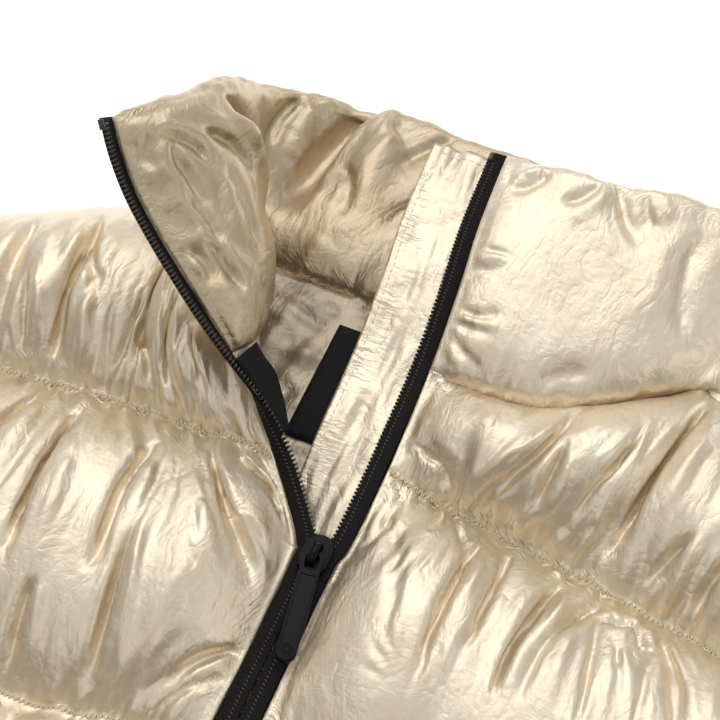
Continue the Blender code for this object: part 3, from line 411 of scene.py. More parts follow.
def front_grid(side, columns, band_rows):
    """A front's inner side as rows of points, with each row's band and its share of the band."""
    neck_count = int(round(NECK_SHARE * columns))
    neck = neck_line(side, neck_count)
    shoulder = shoulder_line(neck[-1], SIDES[side], columns - neck_count + 1, FRONT_REST_Z)
    lines = [front_seam(side, level, columns) for level in (4, 3, 2, 1, 0)]
    lines.append(np.concatenate([neck, shoulder[1:]]))
    stops = [0.0, *(zip_share(side, y) for y in SEAM_YS[::-1]), zip_share(side, ZIP_SEAM_LENGTHS[side])]
    grid, band_share, band_of = [], [], []
    for band, (low, high) in enumerate(zip(lines, lines[1:])):
        even = np.linspace(0, 1, band_rows[band] + 1)
        left = gold_edge(side, stops[band] + (stops[band + 1] - stops[band]) * even, EDGE_DROP)
        right = side_edge_rows(SIDES[side], low[-1][1], high[-1][1], even, FRONT_REST_Z)
        start = 0 if band == 0 else 1
        grid.extend(band_patch(low, high, left, right, even)[start:])
        band_share.extend(even[start:])
        band_of.extend([band] * len(even[start:]))
    inner = np.array(grid)
    inner[..., 2] = np.maximum(inner[..., 2], FRONT_REST_Z)
    return inner, np.array(band_share), np.array(band_of)


def grid_normals(grid, sign, passes, reach):
    normal = unit(np.cross(np.gradient(grid, axis=1), np.gradient(grid, axis=0))) * sign
    for _ in range(passes):
        padded = np.pad(normal, ((reach, reach), (reach, reach), (0, 0)), mode="edge")
        rows, columns = normal.shape[:2]
        span = range(2 * reach + 1)
        normal = unit(sum(padded[i:i + rows, j:j + columns] for i in span for j in span))
    return normal


BAND_SPANS = (HEM_BAND_HEIGHT, BAND_HEIGHT, BAND_HEIGHT, BAND_HEIGHT, 66.0)
BACK_SPANS = (*BAND_SPANS[:-1], 100.0)

LOWER_FOLDS = 9                        # below each of the lower seams, on each front
LOWER_START = 20.0
LOWER_PITCH = 27.0
LOWER_SCATTER = 9.0
LOWER_SLOPE = 0.14                     # of the seams, about
LOWER_DROP = 6.0
LOWER_REACH = 40.0
LOWER_REACH_MORE = 55.0
LOWER_LEAN = 14.0
LOWER_BEND = 6.0
LOWER_DEPTH = 4.0
LOWER_WIDTH = 5.0


def lower_folds(side):
    """Folds like those of the upper bands, running from the seams into the bands out of the photo."""
    sign = SIDES[side]
    folds = []
    for level in (1, 2, 3):
        for index in range(LOWER_FOLDS):
            x = LOWER_START + LOWER_PITCH * index + LOWER_SCATTER * hash_noise(level, index, sign)
            reach = LOWER_REACH + LOWER_REACH_MORE * hash_noise(index, level, 2 + sign)
            start = SEAM_YS[level] - LOWER_SLOPE * x - LOWER_DROP
            if level == 3:
                reach *= 0.5
            lean = LOWER_LEAN * (hash_noise(index, 7, level) - 0.5)
            bend = LOWER_BEND * (hash_noise(index, 3, level) - 0.5)
            deep = LOWER_DEPTH * (1 + hash_noise(level, sign, index))
            middle = (sign * (x + lean / 2 + bend), start - reach / 2)
            end = (sign * (x + lean), start - reach)
            folds.append(Fold(((sign * x, start), middle, end), deep, LOWER_WIDTH, 0.5))
    return tuple(folds)


def front_folds(side):
    return FOLDS[side] + lower_folds(side)


FOLD_RUN_IN = 9.0
FOLD_STEPS = 14
RIDGE_SHARE = 0.7


def nearest_on_path(points, path):
    """Each point's distance to a path, its place along it as a share, and its side in plan."""
    best = np.full(points.shape[:-1], 1e9)
    place = np.zeros(points.shape[:-1])
    side = np.zeros(points.shape[:-1])
    for index, (start, end) in enumerate(zip(path, path[1:])):
        span = end - start
        offset = points - start
        along = np.clip((offset @ span) / max(span @ span, 1e-6), 0.0, 1.0)
        distance = np.linalg.norm(offset - along[..., None] * span, axis=-1)
        closer = distance < best
        turn = span[0] * offset[..., 1] - span[1] * offset[..., 0]
        best = np.where(closer, distance, best)
        place = np.where(closer, (index + along) / (len(path) - 1), place)
        side = np.where(closer, np.sign(turn), side)
    return best, place, side


def fold_shape(signed, width, ridge_share=RIDGE_SHARE):
    """A valley along a line and a lower ridge on its positive side."""
    return ridge_share * bell((signed - 1.9 * width) / (0.9 * width)) - bell(signed / width)


def fold_relief(points, fold, slim=1.0):
    """A fold's relief on a front, thin where it leaves the seam."""
    knots = np.array(fold.points, float)
    knots = np.vstack([knots[:1] + FOLD_RUN_IN * unit(knots[:1] - knots[1:2]), knots])
    path = Curve([(*point, 0.0) for point in knots]).even(FOLD_STEPS)[:, :2]
    away, place, side = nearest_on_path(points[..., :2], path)
    taper = smoothstep(place / 0.3) * smoothstep((1 - place) / 0.4)
    width = slim * fold.width * (0.25 + 1.05 * place ** 0.8)
    signed = away * side * np.sign(fold.ridge)
    return fold.deep * fold_shape(signed, width, abs(fold.ridge) * RIDGE_SHARE) * taper


GATHER_PITCH = 8.5
GATHER_START = 6.0
GATHER_END = 262.0
GATHER_LENGTH = (7.0, 26.0)            # the least, and what is drawn on top of it
GATHER_DEPTH = (1.0, 1.6)
GATHER_WIDTH = (1.9, 1.7)
GATHER_LEAN = 0.5
GATHER_WIDEN = 40.0                    # the distance at which a gather is twice as wide


def gathers(side, inner, band_share, band_of):
    """Many small folds that run out of each seam by uneven lengths, as shirring leaves them."""
    place = lengths_along(inner, 1)
    span = np.array(BAND_SPANS)[band_of]
    side_key = 1.0 if side == "left" else 5.0
    last = len(BAND_SPANS) - 1
    relief = np.zeros(inner.shape[:2])
    for band, upper in [(band, upper) for band in range(last + 1) for upper in (False, True)]:
        if (band == last and upper) or (band == 0 and not upper):
            continue
        here = band_of == band
        distance = (((1 - band_share) if upper else band_share)[here] * span[here])[:, None]
        spot = GATHER_START
        index = 0
        while spot < GATHER_END:
            draw = [hash_noise(band * 2 + upper + 0.7 * k, index * 1.37, side_key) for k in range(4)]
            length = GATHER_LENGTH[0] + GATHER_LENGTH[1] * draw[0] ** 2
            deep = GATHER_DEPTH[0] + GATHER_DEPTH[1] * draw[1]
            width = GATHER_WIDTH[0] + GATHER_WIDTH[1] * draw[2]
            lean = GATHER_LEAN * (draw[3] - 0.5)
            away = (place[here] - (spot + lean * distance)) / (width * (1 + distance / GATHER_WIDEN))
            relief[here] -= deep * (bell(away) * np.exp(-(distance / length) ** 1.5))
            spot += GATHER_PITCH * (0.6 + 0.8 * draw[2])
            index += 1
    return relief


def front_height(side, inner, band_share, band_of):
    """Thickness of a front over its inner side."""
    from_zip = lengths_along(inner, 1)
    from_side = from_zip[:, -1:] - from_zip
    span = np.array(BAND_SPANS)[band_of]
    puff = np.sqrt(np.maximum(np.sin(np.pi * band_share), 0.0))[:, None]
    to_top = np.where(band_of == 4, (1 - band_share) * span, FAR)[:, None]
    to_hem = np.where(band_of == 0, band_share * span, FAR)[:, None]
    zip_rise = smoothstep(from_zip / ZIP_RISE) ** 0.8
    rim = pillow(np.minimum(np.minimum(from_side, to_top), to_hem), FRONT_RIM)
    column = np.linspace(0, 41, inner.shape[1])[None, :]
    wave = np.sin(column * 0.41 + band_of[:, None] * 2.1) + np.sin(column * 0.23 + band_of[:, None] * 4.3)
    crown = (FRONT_CROWN - FRONT_SEAM) * (1 + 0.07 * wave)
    height = FRONT_EDGE + zip_rise * rim * ((FRONT_SEAM - FRONT_EDGE) + crown * puff)
    soften = smoothstep(from_zip / 12.0) * smoothstep(from_side / 30.0)
    for fold in front_folds(side):
        height += fold_relief(inner, fold) * soften * np.minimum(1.0, 1.6 * puff)
    height += gathers(side, inner, band_share, band_of) * soften * smoothstep(puff / 0.25)
    height += EDGE_PUCKER * soft_noise(*inner.shape[:2], 17, 2, 1) * bell((from_zip - 7.0) / 6.0)
    return np.maximum(height, FRONT_EDGE)


# ---- grids
def resample(grid, wanted_rows, wanted_columns):
    """Read a grid of points smoothly at fractional row and column indices."""
    def along(points, wanted):
        last = len(points) - 1
        base = np.clip(np.floor(wanted).astype(int), 0, last - 1)
        near = [points[np.clip(base + k, 0, last)] for k in (-1, 0, 1, 2)]
        return between(*near, (wanted - base)[:, None, None])

    rows = along(grid, np.asarray(wanted_rows, float))
    return along(rows.transpose(1, 0, 2), np.asarray(wanted_columns, float)).transpose(1, 0, 2)


def soft_noise(rows, columns, seed, reach_rows, reach_columns):
    """Seeded noise with a spread of 1, smoothed over so many rows and columns."""
    field = np.random.RandomState(seed).normal(size=(rows, columns))
    for axis, reach in ((0, reach_rows), (1, reach_columns)):
        kernel = np.hanning(2 * reach + 3)[1:-1]
        kernel /= kernel.sum()

        def blur(line, reach=reach, kernel=kernel):
            return np.convolve(np.pad(line, reach, mode="reflect"), kernel, "valid")

        field = np.apply_along_axis(blur, axis, field)
    return field / field.std()


def puckers(grid, row_edges, column_edges, reach):
    """For the fine creases of gathered edges: place along the nearest edge, distance from it, strength."""
    along = lengths_along(grid, 1)
    up = lengths_along(grid, 0)
    edges = [(along + 53.0 * index, up - up[row]) for index, row in enumerate(row_edges)]
    edges += [(up + 71.0 * index, along - along[:, [column]]) for index, column in enumerate(column_edges)]
    places, distances = (np.stack(part) for part in zip(*edges))
    first = np.argmin(np.abs(distances), axis=0)[None]
    place = np.take_along_axis(places, first, axis=0)[0]
    away = np.take_along_axis(distances, first, axis=0)[0]
    order = np.sort(np.abs(distances), axis=0)
    apart = smoothstep((order[1] - order[0]) / 3.0)
    strength = np.exp(-(np.abs(away) / reach) ** 1.3) * apart * np.where(first[0] < len(row_edges), 1.0, 0.45)
    return np.stack([place, away, strength], axis=-1)


def store(piece, name, values, size):
    """Keep numbers on a piece's first points, size of them on each; its other points get zeros."""
    kind, key = {1: ("FLOAT", "value"), 3: ("FLOAT_VECTOR", "vector")}[size]
    full = np.zeros(len(piece.data.vertices) * size, np.float32)
    full[:values.size] = values.ravel()
    piece.data.attributes.new(name, kind, "POINT").data.foreach_set(key, full)


def quads(rows, columns, flip=False, offset=0):
    index = np.arange(rows * columns).reshape(rows, columns) + offset
    a, b, c, d = index[:-1, :-1], index[:-1, 1:], index[1:, 1:], index[1:, :-1]
    order = (a, d, c, b) if flip else (a, b, c, d)
    return np.stack([part.ravel() for part in order], axis=1).tolist()


def border(rows, columns):
    """Indices round a grid's edge."""
    index = np.arange(rows * columns).reshape(rows, columns)
    return np.concatenate([index[0, :], index[1:, -1], index[-1, -2::-1], index[-2:0:-1, 0]])


# ---- objects
def new_object(name, data):
    item = bpy.data.objects.new(name, data)
    bpy.context.scene.collection.objects.link(item)
    return item


def world_points(points):
    return ((np.asarray(points, float) + SHIFT) * MM).tolist()


def add_piece(name, points, faces, material, slot, body="garment", stands_for=()):
    """A mesh from points in millimetres from the slider, riding on a body."""
    mesh = bpy.data.meshes.new(name)
    mesh.from_pydata(world_points(points), [], faces)
    mesh.validate()
    mesh.materials.append(material)
    mesh.shade_smooth()
    piece = new_object(name, mesh)
    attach(piece, body)
    if stands_for:
        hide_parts(*stands_for)
    return piece


def turn_outward(piece):
    """Consistent outward normals on a closed mesh."""
    work = bmesh.new()
    work.from_mesh(piece.data)
    bmesh.ops.recalc_face_normals(work, faces=work.faces)
    work.to_mesh(piece.data)
    work.free()


def closed_cloth(name, outer, inner, material, slot, stands_for):
    """A closed mesh from two grids of the same size, joined round their edge."""
    rows, columns = outer.shape[:2]
    count = rows * columns
    faces = quads(rows, columns) + quads(rows, columns, True, count)
    loop = border(rows, columns).tolist()
    for start, end in zip(loop, loop[1:] + loop[:1]):
        faces.append([start, start + count, end + count, end])
    points = np.concatenate([outer.reshape(-1, 3), inner.reshape(-1, 3)])
    piece = add_piece(name, points, faces, material, slot=slot, stands_for=stands_for)
    turn_outward(piece)
    return piece


def ring_faces(rings, sides):
    """Faces of a skin through rings of points, with both ends filled."""
    faces = []
    for row in range(rings - 1):
        for k in range(sides):
            a, b = row * sides + k, row * sides + (k + 1) % sides
            faces.append([a, b, b + sides, a + sides])
    faces.append(list(range(sides))[::-1])
    faces.append([(rings - 1) * sides + k for k in range(sides)])
    return faces


def tube(path, radius, sides, up=(0.0, 0.0, 1.0), flat=1.0):
    """Points and faces of a tube along a path; flat squeezes it along up."""
    path = np.asarray(path, float)
    ahead = unit(np.gradient(path, axis=0))
    side = unit(np.cross(ahead, np.asarray(up, float)))
    top = np.cross(side, ahead)
    angles = 2 * np.pi * np.arange(sides) / sides
    c, s = np.cos(angles)[None, :, None], np.sin(angles)[None, :, None]
    points = path[:, None] + (side[:, None] * c + top[:, None] * s * flat) * radius
    return points.reshape(-1, 3), ring_faces(len(path), sides)


class Batch:
    """Collects many small forms into one mesh."""

    def __init__(self):
        self.points, self.faces, self.count = [], [], 0

    def add(self, points, faces):
        self.points.append(np.asarray(points, float))
        self.faces.extend([[index + self.count for index in face] for face in faces])
        self.count += len(points)

    def piece(self, name, material, **options):
        piece = add_piece(name, np.concatenate(self.points), self.faces, material, **options)
        turn_outward(piece)
        return piece


# ---- cloth runs
RUN_SCALE = 0.01             # cloth runs at ten times life size: 1 unit is 100 mm
CLOTH_SETTINGS = {
    "quality": 5, "mass": 0.3, "air_damping": 1.0, "tension_stiffness": 15.0, "compression_stiffness": 15.0,
    "shear_stiffness": 5.0, "vertex_group_mass": "pin", "pin_stiffness": 1.0, "use_pressure": True,
}


def set_all(owner, settings):
    for name, value in settings.items():
        setattr(owner, name, value)


def cloth_run(start, rest, pins, flip, pressure, frames, bending, cap):
    """Swell a grid of cloth against its pinned lines and return it, moved by at most cap."""
    points = start.reshape(-1, 3)
    mesh = bpy.data.meshes.new("cloth_run")
    mesh.from_pydata((points * RUN_SCALE).tolist(), [], quads(*start.shape[:2], flip))
    run = new_object("cloth_run", mesh)
    run.shape_key_add(name="Basis")
    key = run.shape_key_add(name="rest")
    key.data.foreach_set("co", (rest * RUN_SCALE).astype(np.float32).ravel())
    group = run.vertex_groups.new(name="pin")
    levels = np.round(pins.ravel(), 2)
    for level in np.unique(levels[levels > 0]):
        group.add(np.nonzero(levels == level)[0].tolist(), float(level), "REPLACE")
    cloth = run.modifiers.new("cloth", "CLOTH")
    set_all(cloth.settings, CLOTH_SETTINGS)
    set_all(cloth.settings, {"bending_stiffness": bending, "rest_shape_key": key,
                             "uniform_pressure_force": pressure})
    cloth.settings.effector_weights.gravity = 0.0
    set_all(cloth.collision_settings, {"use_collision": False, "use_self_collision": False})
    set_all(cloth.point_cache, {"frame_start": 1, "frame_end": frames + 1})
    for frame in range(1, frames + 1):
        bpy.context.scene.frame_set(frame)
    shown = run.evaluated_get(bpy.context.evaluated_depsgraph_get())
    result = np.empty(len(points) * 3, np.float32)
    shown.data.vertices.foreach_get("co", result)
    bpy.data.objects.remove(run)
    bpy.data.meshes.remove(mesh)
    bpy.context.scene.frame_set(1)
    shift = result.reshape(-1, 3).astype(float) / RUN_SCALE - points
    length = np.linalg.norm(shift, axis=1)
    moved = points + shift * np.minimum(1.0, cap / np.maximum(length, 1e-9))[:, None]
    return moved.reshape(start.shape)


# ---- materials
INNER_PAINTED_SHADE = (0.72, 0.67, 0.60)      # painted shade: a darker colour multiplied into the neck side of the collar, against the outer side


def new_material(name):
    material = bpy.data.materials.new(name)
    material.use_nodes = True
    return material, material.node_tree


def set_inputs(tree, node, inputs):
    """Set a node's inputs to values, or join them to other nodes' outputs."""
    for name, value in inputs.items():
        if isinstance(value, bpy.types.NodeSocket):
            tree.links.new(value, node.inputs[name])
        else:
            node.inputs[name].default_value = value


def add_node(tree, kind, inputs, **settings):
    node = tree.nodes.new("ShaderNode" + kind)
    set_all(node, settings)
    set_inputs(tree, node, inputs)
    return node.outputs


def finished(material, tree, inputs):
    set_inputs(tree, tree.nodes["Principled BSDF"], inputs)
    return material


def object_place(tree):
    return add_node(tree, "TexCoord", {})["Object"]


def noise(tree, place, scale, detail, rough=0.55, distort=0.0):
    return add_node(tree, "TexNoise", {"Vector": place, "Scale": scale, "Detail": detail,
                                       "Roughness": rough, "Distortion": distort})["Fac"]


def bump(tree, height, strength, distance, before=None):
    inputs = {"Height": height, "Strength": strength, "Distance": distance}
    if before is not None:
        inputs["Normal"] = before
    return add_node(tree, "Bump", inputs)["Normal"]


def stretched(tree, place, scale, turn=0.0):
    inputs = {"Vector": place, "Scale": scale, "Rotation": (0.0, 0.0, turn)}
    return add_node(tree, "Mapping", inputs)["Vector"]


def calc(tree, operation, *values):
    return add_node(tree, "Math", dict(enumerate(values)), operation=operation)["Value"]


def ridged(tree, value):
    """Sharp valleys where a noise value passes its middle."""
    return calc(tree, "POWER", calc(tree, "ABSOLUTE", calc(tree, "SUBTRACT", value, 0.5)), 0.7)


def colour_ramp(tree, value, *stops):
    """A colour ramp between two stops, each a place and a colour."""
    node = tree.nodes.new("ShaderNodeValToRGB")
    for element, (position, colour) in zip(node.color_ramp.elements, stops):
        element.position = position
        element.color = (*colour, 1.0)
    set_inputs(tree, node, {"Fac": value})
    return node.outputs["Color"]


def foil_cloth(name, colour, dark, roughness, metallic, crumple=1.0):
    """Thin nylon with a metallic coat: creases, hair-like wrinkles, the puckers of gathered seams and painted
    shade where a piece stores it.
    """
    material, tree = new_material(name)
    place = object_place(tree)
    bend = add_node(tree, "TexNoise", {"Vector": place, "Scale": 28.0, "Detail": 2.0})["Color"]
    swirl = add_node(tree, "MixRGB", {"Fac": 0.010, "Color1": place, "Color2": bend},
                     blend_type="LINEAR_LIGHT")["Color"]
    hair_a = noise(tree, stretched(tree, swirl, (1.0, 0.13, 0.3), 0.5), 820.0, 3.0, 0.6, 0.5)
    hair_b = noise(tree, stretched(tree, swirl, (0.13, 1.0, 0.3), 0.35), 700.0, 3.0, 0.6, 0.5)
    crinkle = noise(tree, swirl, 330.0, 4.0, 0.62, 0.3)
    crease = noise(tree, stretched(tree, swirl, (1.0, 0.4, 0.7), 0.3), 78.0, 3.0)
    cloud = noise(tree, place, 48.0, 3.0)
    gather = add_node(tree, "Attribute", {}, attribute_name="gather")["Vector"]
    strength = add_node(tree, "SeparateXYZ", {"Vector": gather})["Z"]
    lines = noise(tree, stretched(tree, gather, (0.12, 0.03, 0.0)), 1.0, 3.0, 0.65)
    patch = add_node(tree, "MapRange", {"Value": cloud, "From Min": 0.42, "From Max": 0.60})["Result"]
    pucker = calc(tree, "MULTIPLY", ridged(tree, lines), calc(tree, "MULTIPLY", patch, strength))
    height = 0.0
    for relief, deep in ((crinkle, 0.00021 * crumple), (hair_a, 0.00008), (hair_b, 0.00008),
                         (ridged(tree, crease), 0.0009 * crumple), (pucker, 0.0028)):
        height = calc(tree, "MULTIPLY_ADD", relief, deep, height)
    base = colour_ramp(tree, cloud, (0.3, dark), (0.65, colour))
    # painted shade: where a piece's shade attribute is 1, as on the collar's neck side, the colour is
    # multiplied by the darker colour above
    shade = add_node(tree, "Attribute", {}, attribute_name="shade")["Fac"]
    base = add_node(tree, "MixRGB", {"Fac": shade, "Color1": base, "Color2": (*INNER_PAINTED_SHADE, 1.0)},
                    blend_type="MULTIPLY")["Color"]
    rough = add_node(tree, "MapRange", {"Value": crinkle, "To Min": roughness - 0.06,
                                        "To Max": roughness + 0.08})["Result"]
    return finished(material, tree, {"Normal": bump(tree, height, 1.0, 1.0), "Base Color": base,
                                     "Metallic": metallic, "Roughness": rough})


def plain(name, colour, roughness, metallic=0.0, coat=0.0, grain=0.0, grain_scale=900.0, specular=0.5):
    material, tree = new_material(name)
    inputs = {"Base Color": (*colour, 1.0), "Roughness": roughness, "Metallic": metallic,
              "Coat Weight": coat, "Coat Roughness": 0.12, "Specular IOR Level": specular}
    if grain:
        inputs["Normal"] = bump(tree, noise(tree, object_place(tree), grain_scale, 2.0), grain, 0.0004)
    return finished(material, tree, inputs)


def woven(name, colour, roughness, ribs):
    """Black woven cloth or tape: fine ribs across its length."""
    material, tree = new_material(name)
    place = object_place(tree)
    wave = add_node(tree, "TexWave", {"Vector": place, "Scale": ribs, "Distortion": 0.4, "Detail": 1.0},
                    bands_direction="Y")["Fac"]
    normal = bump(tree, wave, 0.5, 0.00025)
    normal = bump(tree, noise(tree, place, 1400.0, 2.0), 0.35, 0.0003, normal)
    return finished(material, tree, {"Normal": normal, "Base Color": (*colour, 1.0),
                                     "Roughness": roughness, "Specular IOR Level": 0.25})


# ---- fronts
FRONT_COLUMNS = 118
FRONT_FINE_COLUMNS = 187
FRONT_BAND_ROWS = (14, 24, 26, 54, 30)
FRONT_FINE_STEPS = (1, 1, 1, 2, 2)     # fine rows for each row of a band
FRONT_FULLNESS = (1.28, 1.04, 1.0)     # cloth across, along and up, against the space it is gathered into
FRONT_PRESSURE = 4.0
FRONT_BENDING = 0.5
FRONT_FRAMES = 28
FRONT_CAP = 12.0
FRONT_LEAST = 1.5                      # thickness left everywhere
POST_GATHER = 0.95                     # gathers set again after the cloth has filled out
CRISP_SHARE = 0.4                      # of each fold's depth, set again as a narrow crease
CRISP_WIDTH = 0.42
FRONT_STOPS = (0, *np.cumsum(FRONT_BAND_ROWS).tolist())


def front_surfaces(side):
    """Inner and outer side of a front as grids, the outer one swollen and gathered."""
    inner, share, band = front_grid(side, FRONT_COLUMNS, FRONT_BAND_ROWS)
    rows, columns = inner.shape[:2]
    normal = grid_normals(inner, SIDES[side], 4, 4)
    height = front_height(side, inner, share, band)
    seams = np.zeros(rows, bool)
    seams[list(FRONT_STOPS)] = True
    lumps = 0.35 * soft_noise(rows, columns, 5 if side == "left" else 11, 8, 2) * ~seams[:, None]
    pucker = 0.5 * soft_noise(rows, columns, 9, 1, 1) * seams[:, None]
    start = inner + normal * (height + lumps + pucker)[..., None]
    pins = np.zeros((rows, columns))
    pins[seams] = 1.0
    pins[:, [0, 1, -1]] = 1.0
    outer = cloth_run(start, start * np.array(FRONT_FULLNESS), pins, side == "right", FRONT_PRESSURE,
                      FRONT_FRAMES, FRONT_BENDING, FRONT_CAP)
    above = np.sum((outer - inner) * normal, axis=-1)
    outer += normal * np.maximum(FRONT_LEAST - above, 0.0)[..., None]
    return inner, outer


def front_piece(side, material):
    """A padded front, with its gathers and the cores of its folds set again on finer rows and columns."""
    inner, outer = front_surfaces(side)
    wanted = [0.0]
    for low, high, step in zip(FRONT_STOPS, FRONT_STOPS[1:], FRONT_FINE_STEPS):
        wanted.extend(np.linspace(low, high, (high - low) * step + 1)[1:])
    across = np.linspace(0, FRONT_COLUMNS - 1, FRONT_FINE_COLUMNS)
    fine_outer = resample(outer, wanted, across)
    fine_inner = resample(inner, wanted, across)
    wanted = np.array(wanted)
    band = np.clip(np.searchsorted(FRONT_STOPS[1:], wanted), 0, 4)
    share = (wanted - np.array(FRONT_STOPS)[band]) / np.array(FRONT_BAND_ROWS)[band]
    away = np.linalg.norm(fine_inner - fine_inner[:, :1], axis=-1)
    depth = POST_GATHER * gathers(side, fine_inner, share, band) * smoothstep(away / 14.0)
    for fold in front_folds(side):
        depth += CRISP_SHARE * fold_relief(fine_inner, fold, CRISP_WIDTH) * smoothstep(away / 8.0)
    depth *= smoothstep(np.sin(np.pi * share) / 0.05)[:, None] * smoothstep((away[:, -1:] - away) / 20.0)
    fine_outer += grid_normals(fine_outer, SIDES[side], 2, 2) * depth[..., None]
    piece = closed_cloth(f"front_{side}_cloth", fine_outer, fine_inner, material, "outer_fabric",
                         (f"front_{side}",))
    seams = [int(np.argmin(np.abs(wanted - stop))) for stop in FRONT_STOPS[1:]]
    store(piece, "gather", puckers(fine_outer, seams, [0], 13.0), 3)
    return outer


# ---- collar
COLLAR_EDGE_HALF = 1.2
COLLAR_FULLNESS = 1.075
COLLAR_PRESSURE = 1.2
COLLAR_BENDING = 0.35
COLLAR_FRAMES = 22
COLLAR_CAP = 7.0
COLLAR_PIN = 0.28
COLLAR_LEAST_Z = 0.3
COLLAR_FADE = 23                       # columns over which the pad turns to the zip's line


def collar_sections():
    """Shares up the collar and shares of its half thickness, from the outer neck seam over the top."""
    low = np.linspace(0.0, 0.9, 36)
    turn = np.linspace(0.0, np.pi / 2, 9)[1:]
    share = np.concatenate([low, 0.9 + 0.1 * np.sin(turn)])
    thick = np.concatenate([pillow(low, 0.24), np.cos(turn)])
    return share, thick


def collar_surface():
    """The collar's skin as a grid, round from the outer neck seam over the top to the inner one."""
    bottom, top, half = collar_centre(COLLAR_COLUMNS)
    share, thick = collar_sections()
    centre = bottom[None] + (top - bottom)[None] * share[:, None, None]
    for side, column, step in (("left", 0, 1), ("right", COLLAR_COLUMNS - 1, -1)):
        start = zip_share(side, ZIP_SEAM_LENGTHS[side] + 1.0)
        shift = gold_edge(side, start + (1 - start) * share) - centre[:, column]
        for offset in range(COLLAR_FADE):
            centre[:, column + step * offset] += shift * (1 - float(smoothstep(offset / COLLAR_FADE)))
    normal = unit(np.cross(np.gradient(centre, axis=1), np.gradient(centre, axis=0)))
    puff = np.maximum(half - COLLAR_EDGE_HALF, 0.4)[None] * thick[:, None]
    depth = COLLAR_EDGE_HALF * np.sqrt(np.clip(thick, 0.06, 1.0))[:, None] + puff
    outer = centre - normal * depth[..., None]
    inner = centre + normal * depth[..., None]
    loop = np.concatenate([outer, inner[-2::-1]])
    loop[..., 2] = np.maximum(loop[..., 2], 0.4)
    return loop


# Folds of the collar: shares along it from the wearer's left zip and round it from the neck seam, over
# the side towards the neck, the top edge and the other side.
COLLAR_FOLDS = (
    Fold(((0.905, 0.43), (0.860, 0.34), (0.830, 0.26), (0.818, 0.17), (0.815, 0.08)), 9.0, 6.0, 1.0),
    Fold(((0.965, 0.39), (0.970, 0.35), (0.965, 0.30), (0.960, 0.22)), 3.0, 3.2, 1.0),
    Fold(((0.945, 0.38), (0.912, 0.33), (0.895, 0.27), (0.890, 0.20)), 4.0, 4.0, -1.0),
    Fold(((0.985, 0.41), (0.988, 0.37), (0.985, 0.33)), 1.8, 2.4, 1.0),
    Fold(((0.978, 0.40), (0.962, 0.37), (0.950, 0.34), (0.945, 0.29)), 2.4, 2.6, -1.0),
    Fold(((0.992, 0.20), (0.982, 0.16), (0.985, 0.11)), 2.2, 2.6, 1.0),
    Fold(((0.975, 0.20), (0.968, 0.12), (0.966, 0.06)), 2.6, 3.0, -1.0),
    Fold(((0.975, 0.29), (0.965, 0.22), (0.967, 0.14)), 2.0, 2.6, 1.0),
    Fold(((0.930, 0.30), (0.925, 0.20), (0.930, 0.10)), 3.0, 4.0, 1.0),
    Fold(((0.650, 0.50), (0.672, 0.42), (0.684, 0.32), (0.688, 0.24), (0.694, 0.16), (0.705, 0.08)),
         12.0, 11.0, -0.4),
    Fold(((0.735, 0.45), (0.745, 0.34), (0.750, 0.24)), 4.0, 5.0, -1.0),
    Fold(((0.625, 0.40), (0.640, 0.34), (0.650, 0.27)), 1.6, 5.5, -1.0),
    Fold(((0.660, 0.27), (0.640, 0.20), (0.640, 0.10)), 2.6, 5.5, 1.0),
    Fold(((0.575, 0.42), (0.600, 0.35), (0.620, 0.27)), 2.2, 4.5, 1.0),
    Fold(((0.560, 0.30), (0.585, 0.22), (0.600, 0.12)), 2.0, 5.0, -1.0),
    Fold(((0.040, 0.57), (0.035, 0.60), (0.025, 0.625), (0.008, 0.645)), 2.2, 2.8, 1.0),
    Fold(((0.082, 0.57), (0.078, 0.60), (0.064, 0.63), (0.050, 0.64)), 2.4, 3.0, -1.0),
    Fold(((0.088, 0.545), (0.106, 0.62), (0.122, 0.67), (0.142, 0.70)), 2.6, 5.0, 1.0),
    Fold(((0.116, 0.57), (0.126, 0.63), (0.142, 0.66)), 1.8, 4.0, -1.0),
    Fold(((0.085, 0.975), (0.105, 0.95), (0.125, 0.94), (0.148, 0.94)), 1.8, 5.0, 1.0),
    Fold(((0.006, 0.77), (0.022, 0.765), (0.040, 0.775)), 1.3, 1.8, 1.0),
    Fold(((0.006, 0.815), (0.018, 0.80), (0.036, 0.79)), 1.3, 1.8, -1.0),
    Fold(((0.006, 0.88), (0.024, 0.885), (0.046, 0.865)), 1.6, 2.0, 1.0),
    Fold(((0.006, 0.905), (0.020, 0.91), (0.044, 0.90)), 1.5, 1.9, -1.0),
    Fold(((0.008, 0.935), (0.026, 0.955), (0.048, 0.97)), 1.6, 2.0, 1.0),
    Fold(((0.170, 0.62), (0.172, 0.71), (0.180, 0.80), (0.200, 0.90)), 2.0, 5.5, 1.0),
)


def collar_folds(loop, slim=1.0):
    """The relief of the collar's folds, each drawn on the collar's own surface."""
    rows, columns = loop.shape[:2]
    relief = np.zeros((rows, columns))
    for fold in COLLAR_FOLDS:
        knots = Curve([(share * (columns - 1), turn * (rows - 1), 0.0) for share, turn in fold.points])
        spots = knots.even(FOLD_STEPS)
        column = np.clip(spots[:, 0], 0, columns - 1.001)
        row = np.clip(spots[:, 1], 0, rows - 1.001)
        path = loop[np.round(row).astype(int), np.round(column).astype(int)]
        path[1:-1] = (path[:-2] + path[1:-1] + path[2:]) / 3
        away, place, _ = nearest_on_path(loop, path)
        signed = away * side_of_path(rows, columns, column, row) * np.sign(fold.ridge)
        taper = smoothstep(place / 0.25) * smoothstep((1 - place) / 0.4)
        width = slim * fold.width * (0.5 + 1.0 * place ** 0.7)
        relief += fold.deep * fold_shape(signed, width) * taper
    return relief


